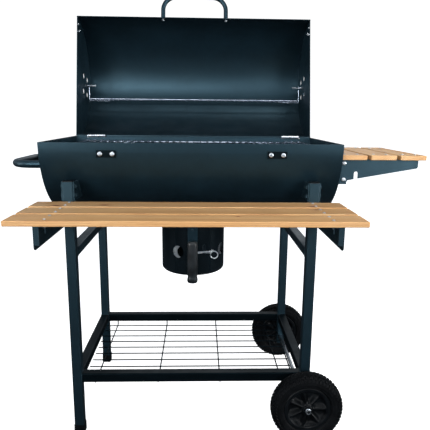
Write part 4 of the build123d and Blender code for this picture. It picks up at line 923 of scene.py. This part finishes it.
# ---- fasteners -------------------------------------------------------------------------------------
@dataclass
class Fasteners(Assembly):
    """Cross-recessed screws and bolts, with nuts and washers where the tips come through."""

    recess: float = 1.1 * MM
    recess_width: float = 0.9 * MM
    dome_share: float = 0.86
    shank_share: float = 0.55
    thread_pitch: float = 1.1 * MM
    thread_root: float = 0.86
    nut_height: float = 3.4 * MM
    washer_top: float = 4.3 * MM

    def screw(self, piece: Piece, corners: Corners, head_height: float) -> Tuple[Vector, Vector, float]:
        """One screw in the place of a CAD one.

        Args:
            piece: the faces so far.
            corners: the CAD screw's box.
            head_height: how tall its head is.
        Returns:
            The tip, the direction from tip to head and the shank's radius.
        """
        low, high = corners
        spread = high - low
        axis = max(range(3), key=lambda a: spread[a])
        centre = middle_of(corners)
        barrel = middle_of(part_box("firebox_shell"))
        outward = 1.0 if axis == 2 or centre[axis] > barrel[axis] else -1.0
        direction = Vector((0.0, 0.0, 0.0))
        direction[axis] = outward
        length = spread[axis]
        head = max(spread[a] for a in range(3) if a != axis) / 2
        shank = head * self.shank_share
        top = centre + direction * (length / 2)
        place = upright(top - direction * head_height, direction)
        reach = [head * k / 10 for k in range(11)]

        def dome(r: float, angle: float) -> float:
            """Height of the head: a dome with a cross sunk into it."""
            rise = head_height * math.sqrt(max(0.0, 1.0 - (self.dome_share * r / head) ** 4))
            x, y = abs(r * math.cos(angle)), abs(r * math.sin(angle))
            in_cross = min(x, y) < self.recess_width and max(x, y) < head * 0.52
            return rise - (self.recess if in_cross and r > 0 else 0.0)

        piece.field(place, reach, 32, dome)
        foot = head_height * math.sqrt(1.0 - self.dome_share ** 4)
        piece.revolve([(head, foot), (head, 0.15 * MM), (head * 0.95, 0.0), (shank, 0.0)], place, 32, False)
        tip = centre - direction * (length / 2)
        thread = [(shank, 0.0)]
        grip = length - head_height
        pitch = self.thread_pitch
        for k in range(int(grip / pitch) - 1):
            thread.append((shank * self.thread_root, -pitch * (k + 0.5)))
            thread.append((shank, -pitch * (k + 1.0)))
        thread.append((shank * 0.5, -grip))
        thread.append((0.0, -grip))
        piece.revolve(thread, place, 16, False)
        return tip, direction, shank

    def nut(self, piece: Piece, tip: Vector, direction: Vector, bore: float) -> None:
        """A hexagon nut and its washer just behind a bolt's tip."""
        place = upright(tip + direction * 1.2 * MM, direction)
        across = bore * 1.95
        profile = ((across * 0.93, 0.0), (across, 0.5 * MM), (across, 3.0 * MM),
                   (across * 0.96, self.nut_height))
        rings = [[place @ Vector((radius * c, radius * s, level)) for c, s in round_steps(6)]
                 for radius, level in profile]
        piece.loops(rings, True, False)
        washer = [(bore, self.nut_height), (across * 1.18, self.nut_height), (across * 1.2, 3.9 * MM),
                  (across * 1.16, self.washer_top), (bore, self.washer_top)]
        piece.revolve(washer, place, 32, True)

    def family(self, node: str, name: str, head_height: float, with_nut: bool,
               slot: str = "zinc") -> bpy.types.Object:
        """All the fasteners of one CAD node.

        Args:
            node: the CAD node they stand for.
            name: the new piece's name.
            head_height: how tall the heads are.
            with_nut: whether nuts close the tips.
            slot: the record's material slot.
        Returns:
            The piece.
        """
        piece = Piece()
        for corners in islands(node):
            tip, direction, shank = self.screw(piece, corners, head_height)
            if with_nut:
                self.nut(piece, tip, direction, shank)
        return self.done(piece, name, slot, node)

    def build(self) -> Iterable[bpy.types.Object]:
        """Slat screws, ledge bolts, side arm bolts and the black frame bolts."""
        return [
            self.family("slat_screws", "pan_head_slat_screws", 1.9 * MM, False),
            self.family("ledge_bolts", "dome_head_ledge_bolts", 3.4 * MM, True),
            self.family("side_arm_bolts", "dome_head_arm_bolts", 3.2 * MM, True),
            self.family("frame_bolts", "dome_head_frame_bolts", 3.2 * MM, True, "powder_coat"),
        ]


# ---- welds -----------------------------------------------------------------------------------------
@dataclass
class Welds(Assembly):
    """Rippled weld beads where the frame's tubes meet and where the barrel's sheets are joined."""

    bead: float = 1.5 * MM
    ripple: float = 0.16
    ripple_pitch: float = 2.6 * MM
    step: float = 1.0 * MM
    wobble: float = 0.12
    corner_inset: float = 0.8 * MM
    end_inset: float = 1.6 * MM
    stand_off: float = 0.4 * MM
    arc_steps: int = 60
    collar_steps: int = 90
    seed: int = 11

    def run(self, piece: Piece, points: Sequence[Vector], radius: float, closed: bool = False) -> None:
        """One bead through points.

        Args:
            piece: the beads so far.
            points: corners of its path.
            radius: the bead's own radius.
            closed: whether it goes all the way round.
        """
        rng = random.Random(self.seed)
        path = []
        legs = list(zip(points, points[1:] + points[:1] if closed else points[1:]))
        for a, b in legs:
            count = max(1, int((b - a).length / self.step))
            for k in range(count):
                wobble = Vector([rng.uniform(-self.wobble, self.wobble) * radius for _ in range(3)])
                path.append(a.lerp(b, k / count) + wobble)
        if not closed:
            path.append(points[-1])

        def rippled(travelled: float) -> float:
            """The bead's radius after a length of weld."""
            return radius * (1.0 + self.ripple * math.sin(TAU * travelled / self.ripple_pitch))

        piece.tube(path, rippled, 6, closed)

    def rail_ends(self, piece: Piece, node: str) -> None:
        """Beads round both ends of a rail."""
        low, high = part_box(node)
        spread = high - low
        axis = 0 if spread.x > spread.y else 1
        other = 1 - axis
        near, far = low[other], high[other]
        for level in (low[axis], high[axis]):
            ring = []
            for side, z in ((near, low.z), (far, low.z), (far, high.z), (near, high.z)):
                corner = Vector((0.0, 0.0, z))
                corner[axis] = level
                corner[other] = side
                ring.append(corner)
            middle = sum(ring, Vector()) / 4
            ring = [p + (middle - p).normalized() * self.corner_inset for p in ring]
            self.run(piece, ring, self.bead, True)

    def brackets(self, piece: Piece) -> None:
        """Beads where the gusset plates stand on the barrel."""
        shell_low, shell_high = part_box("firebox_shell")
        radius = shell_high.z - shell_low.z
        axis_y = (shell_low.y + shell_high.y) / 2
        for low, high in islands("leg_brackets"):
            side = 1.0 if middle_of((low, high)).y > axis_y else -1.0
            for x in (low.x, high.x):
                points = []
                for k in range(9):
                    z = low.z + (high.z - low.z) * k / 8
                    reach = math.sqrt(radius ** 2 - (shell_high.z - z) ** 2)
                    points.append(Vector((x, axis_y + side * (reach + self.stand_off), z)))
                self.run(piece, points, self.bead)

    def arc(self, piece: Piece, x: float, centre: Tuple[float, float], radius: float, start: float) -> None:
        """A half-round bead across one end of the barrel.

        Args:
            piece: the beads so far.
            x: which end.
            centre: Y and Z of the barrel's axis.
            radius: the bead's distance from that axis.
            start: the angle where it starts, from +Y towards +Z.
        """
        points = []
        for k in range(self.arc_steps + 1):
            angle = start + math.pi * k / self.arc_steps
            y, z = centre[0] + radius * math.cos(angle), centre[1] + radius * math.sin(angle)
            points.append(Vector((x, y, z)))
        self.run(piece, points, self.bead * 0.55)

    def frame_beads(self) -> bpy.types.Object:
        """Beads on the stand: rails, brackets and the firebox's ends."""
        piece = Piece()
        for level, sides in (("lower", ("left", "right", "front", "rear")), ("upper", ("left", "right"))):
            for side in sides:
                self.rail_ends(piece, f"rail_{level}_{side}")
        self.brackets(piece)
        low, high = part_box("firebox_shell")
        axis = ((low.y + high.y) / 2, high.z)
        for x in (low.x, high.x):
            self.arc(piece, x, axis, high.z - low.z - self.end_inset, math.pi)
        collar_low, collar_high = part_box("pot_collar")
        collar = middle_of((collar_low, collar_high))
        radius = (collar_high.x - collar_low.x) / 2
        shell = high.z - low.z
        ring = []
        for c, s in round_steps(self.collar_steps):
            y = radius * s
            z = high.z - math.sqrt(shell ** 2 - y ** 2) - self.stand_off
            ring.append(Vector((collar.x + radius * c, collar.y + y, z)))
        self.run(piece, ring, self.bead * 0.8, True)
        return self.done(piece, "frame_weld_beads", "powder_coat")

    def lid_beads(self) -> bpy.types.Object:
        """Beads round the lid's two ends."""
        piece = Piece()
        low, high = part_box("firebox_shell")
        for x in (low.x, high.x):
            self.arc(piece, x, lid_point(0.0, 0.0), high.z - low.z - self.end_inset, -lid_angle())
        return self.done(piece, "lid_weld_beads", "powder_coat", body="lid")

    def build(self) -> Iterable[bpy.types.Object]:
        """The stand's beads and the lid's."""
        return [self.frame_beads(), self.lid_beads()]


# ---- lid eyelets -----------------------------------------------------------------------------------
@dataclass
class LidEyelets(Assembly):
    """Small plated eyelets that line the drain holes in the lid's ends."""

    body: str = "lid"
    places: Tuple[Tuple[float, float], ...] = ((22.0 * MM, 15.0 * MM), (34.0 * MM, 34.0 * MM),
                                               (44.0 * MM, 15.0 * MM))
    end_sheet: float = 1.5 * MM
    depth: float = 1.4 * MM
    wall: float = 0.5 * MM
    bore: float = 1.9 * MM
    outer: float = 4.4 * MM
    lift: float = 1.9 * MM

    def build(self) -> Iterable[bpy.types.Object]:
        """All six eyelets as one piece."""
        piece = Piece()
        low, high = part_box("firebox_shell")
        radius = high.z - low.z
        neck = self.bore + self.wall
        ring = [(self.bore, -self.depth), (neck, -self.depth), (neck, 0.0), (self.outer, 0.0),
                (self.outer * 0.9, self.lift * 0.7), (self.outer * 0.6, self.lift),
                (self.bore, self.lift * 0.6)]
        for x, inward in ((low.x + self.end_sheet, 1.0), (high.x - self.end_sheet, -1.0)):
            for inset, height in self.places:
                y, z = lid_point(inset - radius, height)
                place = upright(Vector((x, y, z)), Vector((inward, 0.0, 0.0)))
                piece.revolve(ring, place, 24, True)
        return [self.done(piece, "lid_drain_eyelets", "zinc")]


# ---- ash pot ---------------------------------------------------------------------------------------
GRIP_STATIONS = ((0.0, 0.50), (0.012, 0.74), (0.035, 0.90), (0.075, 0.97), (0.12, 0.93), (0.155, 0.86),
                 (0.19, 0.88), (0.26, 0.95), (0.42, 1.0), (0.62, 0.97), (0.80, 0.93), (0.92, 0.92),
                 (0.965, 0.86), (0.988, 0.72), (1.0, 0.50))
RIVET = [(0.0, 2.2 * MM), (1.8 * MM, 1.9 * MM), (3.2 * MM, 0.9 * MM), (3.5 * MM, 0.0), (3.5 * MM, -0.6 * MM)]


@dataclass
class AshPot(Assembly):
    """The ash pot's moulded grip on two steel straps, and the pot's rolled lip."""

    body: str = "pot"
    strap_places: Tuple[Point, ...] = ((0.22, 16.0 * MM, 15.0 * MM), (0.90, 54.0 * MM, 27.0 * MM))
    strap_thick: float = 2.4 * MM
    grip_depth: float = 17.0 * MM
    grip_sides: int = 36
    grip_power: float = 0.72
    finger_swell: float = 0.5 * MM
    lip_rings: Tuple[Tuple[float, float], ...] = ((-1.9 * MM, 1.9 * MM), (-16.0 * MM, 1.1 * MM))

    def grip(self) -> bpy.types.Object:
        """A lofted grip with a waist above its round lower end, standing for the CAD one."""
        piece = Piece()
        low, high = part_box("ash_pot_handle")
        half_x = (high.x - low.x) / 2
        centre_x = (low.x + high.x) / 2
        half_y = self.grip_depth / 2
        centre_y = low.y + half_y
        height = high.z - low.z
        rings = []
        for share, size in GRIP_STATIONS:
            ring = []
            for k, (c, s) in enumerate(round_steps(self.grip_sides)):
                x = half_x * size * squared(c, self.grip_power)
                y = half_y * size * squared(s, self.grip_power)
                if s < 0 and 0.2 < share < 0.9:
                    y += self.finger_swell * abs(math.cos(3.0 * TAU * k / self.grip_sides))
                ring.append(Vector((centre_x + x, centre_y + y, low.z + height * share)))
            rings.append(ring)
        piece.loops(rings, True, False)
        return self.done(piece, "moulded_pot_grip", "grip_plastic", "ash_pot_handle")

    def straps(self) -> bpy.types.Object:
        """Two bent straps from the pot's wall into the grip, each with a rivet."""
        piece = Piece()
        low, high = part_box("ash_pot_handle")
        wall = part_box("ash_pot")[0].y
        centre_x = (low.x + high.x) / 2
        inside = low.y + self.grip_depth * 0.7
        height = high.z - low.z
        for share, run, width in self.strap_places:
            z = low.z + height * share
            bends = ((inside, z), (wall - 5.0 * MM, z), (wall - 1.6 * MM, z + 3.0 * MM),
                     (wall - 1.3 * MM, z + run))
            side = [Vector((0.0, bend_y, bend_z)) for bend_y, bend_z in bends]
            rings = []
            for i, point in enumerate(side):
                ahead = side[min(i + 1, len(side) - 1)] - side[max(i - 1, 0)]
                normal = Vector((0.0, -ahead.z, ahead.y)).normalized() * self.strap_thick / 2
                rings.append([point + Vector((centre_x + sx * width / 2, 0, 0)) + normal * sn
                              for sx, sn in SQUARE])
            piece.loops(rings, True, False)
            head = upright(Vector((centre_x, wall - 2.3 * MM, z + run * 0.7)), Vector((0.0, -1.0, 0.0)))
            piece.revolve(RIVET, head, 24, False)
        return self.done(piece, "pot_grip_straps", "powder_coat")

    def lip(self) -> bpy.types.Object:
        """The rolled lip round the pot's mouth and a shallow swage below it."""
        piece = Piece()
        low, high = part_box("ash_pot")
        place = Matrix.Translation(Vector(((low.x + high.x) / 2, (low.y + high.y) / 2, high.z)))
        radius = (high.x - low.x) / 2
        for level, size in self.lip_rings:
            ring = [(radius - 0.5 * MM + size * c, level + size * s) for c, s in round_steps(12)]
            piece.revolve(ring, place, 120, True)
        return self.done(piece, "pot_rolled_lip", "gloss_enamel")

    def build(self) -> Iterable[bpy.types.Object]:
        """Grip, straps and lip."""
        return [self.grip(), self.straps(), self.lip()]


# ---- axle ends -------------------------------------------------------------------------------------
@dataclass
class AxleEnds(Assembly):
    """A small plated push cap on a washer at each end of the axle, with a dark plug in its middle."""

    washer_radius: float = 7.6 * MM

    def build(self) -> Iterable[bpy.types.Object]:
        """The caps with their washers, and the plugs."""
        washers = Piece()
        plugs = Piece()
        barrel = middle_of(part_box("firebox_shell"))
        for low, high in islands("axle_caps"):
            centre = middle_of((low, high))
            outward = Vector((0.0, 1.0 if centre.y > barrel.y else -1.0, 0.0))
            radius = (high.x - low.x) / 2
            depth = high.y - low.y
            place = upright(centre + outward * depth / 2, outward)
            back = -depth + 0.2 * MM
            cap = [(radius * 0.52, -0.2 * MM), (radius * 0.60, 0.0), (radius * 0.78, -0.4 * MM),
                   (radius * 0.86, -1.6 * MM), (radius * 0.86, -depth * 0.7),
                   (self.washer_radius, -depth * 0.78), (self.washer_radius, back), (radius * 0.52, back)]
            washers.revolve(cap, place, 48, True)
            plug = [(0.0, -0.9 * MM), (radius * 0.30, -1.0 * MM), (radius * 0.50, -1.5 * MM),
                    (radius * 0.56, -3.0 * MM)]
            plugs.revolve(plug, place, 32, False)
        return [
            self.done(washers, "axle_end_washers", "zinc", "axle_caps"),
            self.done(plugs, "axle_end_plugs", "black_plastic"),
        ]


# ---- wire crossings --------------------------------------------------------------------------------
@dataclass
class WireWelds(Assembly):
    """Small pressed nuggets where welded wires cross on the bottom shelf."""

    nugget: float = 2.1 * MM
    cross_count: int = 4
    long_count: int = 9
    long_pitch: float = 39.6 * MM
    cross_pitch: float = 168.0 * MM
    first_cross: float = 32.0 * MM
    rear_margin: float = 19.2 * MM
    end_margin: float = 2.0 * MM
    wire_height: float = 3.3 * MM
    flatness: float = 0.75

    def build(self) -> Iterable[bpy.types.Object]:
        """One nugget at each crossing of the shelf."""
        piece = Piece()
        low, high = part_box("wire_shelf")
        rear = high.y - self.rear_margin
        crossings = [low.x + self.first_cross + self.cross_pitch * k for k in range(self.cross_count)]
        crossings.append(high.x - self.end_margin)
        half_turn = [math.pi * i / 6 for i in range(7)]
        profile = [(self.nugget * math.sin(a), self.flatness * self.nugget * math.cos(a)) for a in half_turn]
        for x in crossings:
            for k in range(self.long_count):
                spot = Vector((x, rear - self.long_pitch * k, low.z + self.wire_height))
                piece.revolve(profile, Matrix.Translation(spot), 10, False)
        return [self.done(piece, "shelf_wire_nuggets", "powder_coat")]


# ---- carried-over CAD nodes ------------------------------------------------------------------------
@dataclass(frozen=True)
class Board:
    """How one slat was sawn: the grain's run, the pith, the knots and the painted shade on the upper face."""

    run: Run
    pith: Point
    knots: Tuple[Knot, ...]
    top_tone: float


# The last number of each board sets the painted shade on its upper face: 1 paints none, lower numbers paint
# more.
SLAT_LOOKS = {
    "front_slat_1": Board(Run.LEFT_RIGHT, (0.10, 0.012, 0.055), (Knot(0.105, 0.020, 0.0035),), 0.80),
    "front_slat_2": Board(Run.LEFT_RIGHT, (1.70, -0.020, 0.045), (Knot(0.290, 0.018, 0.0045),), 0.45),
    "front_slat_3": Board(Run.LEFT_RIGHT, (3.10, 0.006, 0.032),
                          (Knot(-0.199, -0.012, 0.008), Knot(-0.309, -0.020, 0.008),
                           Knot(0.293, -0.018, 0.007)), 0.30),
    "side_slat_1": Board(Run.FRONT_REAR, (4.30, -0.010, 0.050), (Knot(0.060, -0.012, 0.005),), 0.55),
    "side_slat_2": Board(Run.FRONT_REAR, (5.90, 0.018, 0.038), (Knot(-0.075, 0.016, 0.005),), 0.55),
    "side_slat_3": Board(Run.FRONT_REAR, (7.20, -0.004, 0.060), (Knot(0.100, 0.008, 0.006),), 0.55),
}
# Painted shade: a darker, less shiny copy of the powder coat on the lower rails and wire shelf stands in for
# the shade low on the stand.
LOW_PAINTED_SHADE = PowderCoat("low_black", deep=(0.0008, 0.0016, 0.0022), lit=(0.0018, 0.0036, 0.0050),
                       worn_edge_and_highlight=(0.012, 0.020, 0.025), dust=(0.010, 0.014, 0.018), shine=0.12)
LOW_NODES = ("rail_lower_front", "rail_lower_rear", "rail_lower_left", "rail_lower_right", "wire_shelf")
NODE_LOOKS = {
    **{node: LOW_PAINTED_SHADE for node in LOW_NODES},
    # Painted shade: a darker copy of the powder coat on the lid, so that its inside looks less lit.
    "lid_shell": PowderCoat("lid_black", deep=(0.0016, 0.0040, 0.0058), lit=(0.0038, 0.0090, 0.0130),
                            shine=0.58),
    "ledge_plates": PowderCoat("plate_black", deep=(0.0010, 0.0018, 0.0024), lit=(0.0022, 0.0040, 0.0055),
                               shine=0.18),
}


def dress_nodes(effects: Effects) -> None:
    """Gives every CAD node its own finish or that of its slot, and each slat a board of its own."""
    for name, node in frame["nodes"].items():
        slot = node.data.materials[0].name.split(".")[0]
        if name in SLAT_LOOKS:
            board = SLAT_LOOKS[name]
            middle = tuple(middle_of(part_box(name)))
            finish: Finish = OiledPine(name, middle, board.run, board.pith, board.knots, board.top_tone)
        else:
            finish = NODE_LOOKS.get(name, FINISHES[slot])
        for place in node.material_slots:
            place.material = finish.material(effects)
        LOG.info("dressed %s in %s", name, finish.name)


# ---- stage -----------------------------------------------------------------------------------------
@dataclass(frozen=True)
class SoftBox:
    """One rectangular lamp: where it hangs, what it points at, its size, watts and beam in degrees."""

    name: str
    spot: Point
    aim: Point
    size: Tuple[float, float]
    watts: float
    beam: float

    def hang(self) -> None:
        """Adds the lamp to the scene, turned towards what it lights."""
        data = bpy.data.lights.new(self.name, "AREA")
        data.shape = "RECTANGLE"
        data.size, data.size_y = self.size
        data.energy = self.watts
        data.spread = math.radians(self.beam)
        made = bpy.data.objects.new(self.name, data)
        made.location = self.spot
        made.rotation_euler = (Vector(self.aim) - Vector(self.spot)).to_track_quat("-Z", "Y").to_euler()
        bpy.context.scene.collection.objects.link(made)


UPPER_HALF = (0.0, 0.0, 0.98)
FRONT_SHELF = (0.0, -0.4, 0.62)
SIDE_SHELF = (0.55, 0.0, 0.75)
SOFT_BOXES = (
    SoftBox("key_box", (-0.7, -3.4, 2.1), UPPER_HALF, (2.2, 1.1), 2.6, 34.0),
    SoftBox("top_box", (0.1, -1.1, 3.2), FRONT_SHELF, (2.6, 1.2), 5.0, 40.0),
    SoftBox("side_box", (0.9, -0.5, 2.6), SIDE_SHELF, (0.6, 0.8), 0.9, 36.0),
    SoftBox("left_panel", (-1.75, -2.5, 1.05), (-0.3, 0.0, 0.9), (0.9, 1.3), 3.9, 50.0),
    SoftBox("right_panel", (1.65, -2.5, 1.05), (0.2, 0.0, 0.9), (0.9, 1.3), 3.6, 50.0),
    SoftBox("left_strip", (-2.8, -0.6, 1.0), UPPER_HALF, (0.5, 1.8), 2.5, 60.0),
    SoftBox("right_strip", (2.8, -0.8, 1.0), UPPER_HALF, (0.6, 1.8), 6.5, 60.0),
    SoftBox("rear_box", (0.4, 3.2, 2.2), UPPER_HALF, (2.4, 1.2), 2.5, 80.0),
)


@dataclass
class Studio:
    """A pale floor, soft lights and the camera."""

    eye_aside: float = 0.0190
    eye_ahead: float = 1.3962
    eye_height: float = 0.8453
    yaw: float = 0.0318
    pitch: float = 0.2015
    roll: float = -0.0102
    lens: float = 41.13
    sensor: float = 36.0
    clip_start: float = 0.05
    floor_half: float = 12.0
    floor_seen: Rgb = (0.93, 0.93, 0.93)
    floor_reflected: Rgb = (0.05, 0.055, 0.06)
    floor_glow: float = 0.95
    sky_low: Rgb = (0.020, 0.030, 0.040)
    sky_high: Rgb = (0.95, 1.04, 1.14)
    backdrop: Rgb = (1.0, 1.0, 1.0)
    backdrop_lift: float = 0.1

    def camera(self) -> None:
        """The camera, in front of the grill and looking slightly down."""
        cy, sy = math.cos(self.yaw), math.sin(self.yaw)
        cp, sp = math.cos(self.pitch), math.sin(self.pitch)
        forward = Vector((sy * cp, cy * cp, -sp))
        level = Vector((cy, -sy, 0.0))
        above = Vector((sy * sp, cy * sp, cp))
        right = level * math.cos(self.roll) - above * math.sin(self.roll)
        up = level * math.sin(self.roll) + above * math.cos(self.roll)
        data = bpy.data.cameras.new("camera")
        data.lens = self.lens
        data.sensor_width = self.sensor
        data.clip_start = self.clip_start
        made = bpy.data.objects.new("camera", data)
        barrel = middle_of(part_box("firebox_shell"))
        eye = Vector((barrel.x + self.eye_aside, barrel.y - self.eye_ahead, self.eye_height))
        made.matrix_world = Matrix.Translation(eye) @ Matrix((right, up, -forward)).transposed().to_4x4()
        bpy.context.scene.collection.objects.link(made)
        bpy.context.scene.camera = made

    def floor(self) -> None:
        """A plain white floor that is dimmer in reflections, so that undersides stay dark."""
        mesh = bpy.data.meshes.new("floor")
        h = self.floor_half
        mesh.from_pydata([(-h, -h, 0), (h, -h, 0), (h, h, 0), (-h, h, 0)], [], [(0, 1, 2, 3)])
        material = bpy.data.materials.new("floor_white")
        material.use_nodes = True
        g = Graph(material.node_tree)
        shader = material.node_tree.nodes["Principled BSDF"]
        seen = g.node("ShaderNodeLightPath").outputs["Is Camera Ray"]
        g.feed(shader.inputs["Base Color"], g.blend(seen, self.floor_reflected, self.floor_seen))
        shader.inputs["Roughness"].default_value = 1.0
        shader.inputs["Specular IOR Level"].default_value = 0.0
        shader.inputs["Emission Color"].default_value = (1.0, 1.0, 1.0, 1.0)
        g.feed(shader.inputs["Emission Strength"], g.math("MULTIPLY", seen, self.floor_glow))
        mesh.materials.append(material)
        made = bpy.data.objects.new("floor", mesh)
        bpy.context.scene.collection.objects.link(made)

    def world(self) -> None:
        """White behind the grill; its light is a soft sky, bright above the horizon and dark below."""
        world = bpy.data.worlds.new("studio")
        world.use_nodes = True
        bpy.context.scene.world = world
        g = Graph(world.node_tree)
        background = world.node_tree.nodes["Background"]
        _, ahead, up = g.split(g.node("ShaderNodeTexCoord").outputs["Generated"])
        band = g.math("MULTIPLY", g.remap(up, -0.10, 0.10), g.remap(up, 0.75, 0.25, 0.35, 1.0))
        front = g.remap(ahead, 0.2, -0.7, 0.35, 1.0)
        soft = g.blend(g.math("MULTIPLY", band, front), self.sky_low, self.sky_high)
        seen = g.node("ShaderNodeLightPath").outputs["Is Camera Ray"]
        g.feed(background.inputs["Color"], g.blend(seen, soft, self.backdrop))
        lift = g.math("MULTIPLY", seen, self.backdrop_lift)
        g.feed(background.inputs["Strength"], g.math("ADD", 1.0, lift))

    def build(self) -> None:
        """The whole stage."""
        self.camera()
        self.floor()
        self.world()
        for box in SOFT_BOXES:
            box.hang()
        bpy.context.scene.view_settings.view_transform = "Standard"


def main() -> None:
    """Builds the sub-assemblies in order and reports each piece."""
    logging.basicConfig(level=logging.INFO, format="%(name)s: %(message)s")
    effects = Effects()
    dress_nodes(effects)
    assemblies: List[Assembly] = [
        Wheel(effects, "wheel_front", end="front"),
        Wheel(effects, "wheel_rear", end="rear"),
        AxleEnds(effects),
        Fasteners(effects),
        Welds(effects),
        WireWelds(effects),
        LidEyelets(effects),
        AshPot(effects),
    ]
    for assembly in assemblies:
        for made in assembly.build():
            LOG.info("%s: %s, %d faces", type(assembly).__name__, made.name, len(made.data.polygons))
    Studio().build()


if __name__ == "__main__":
    main()
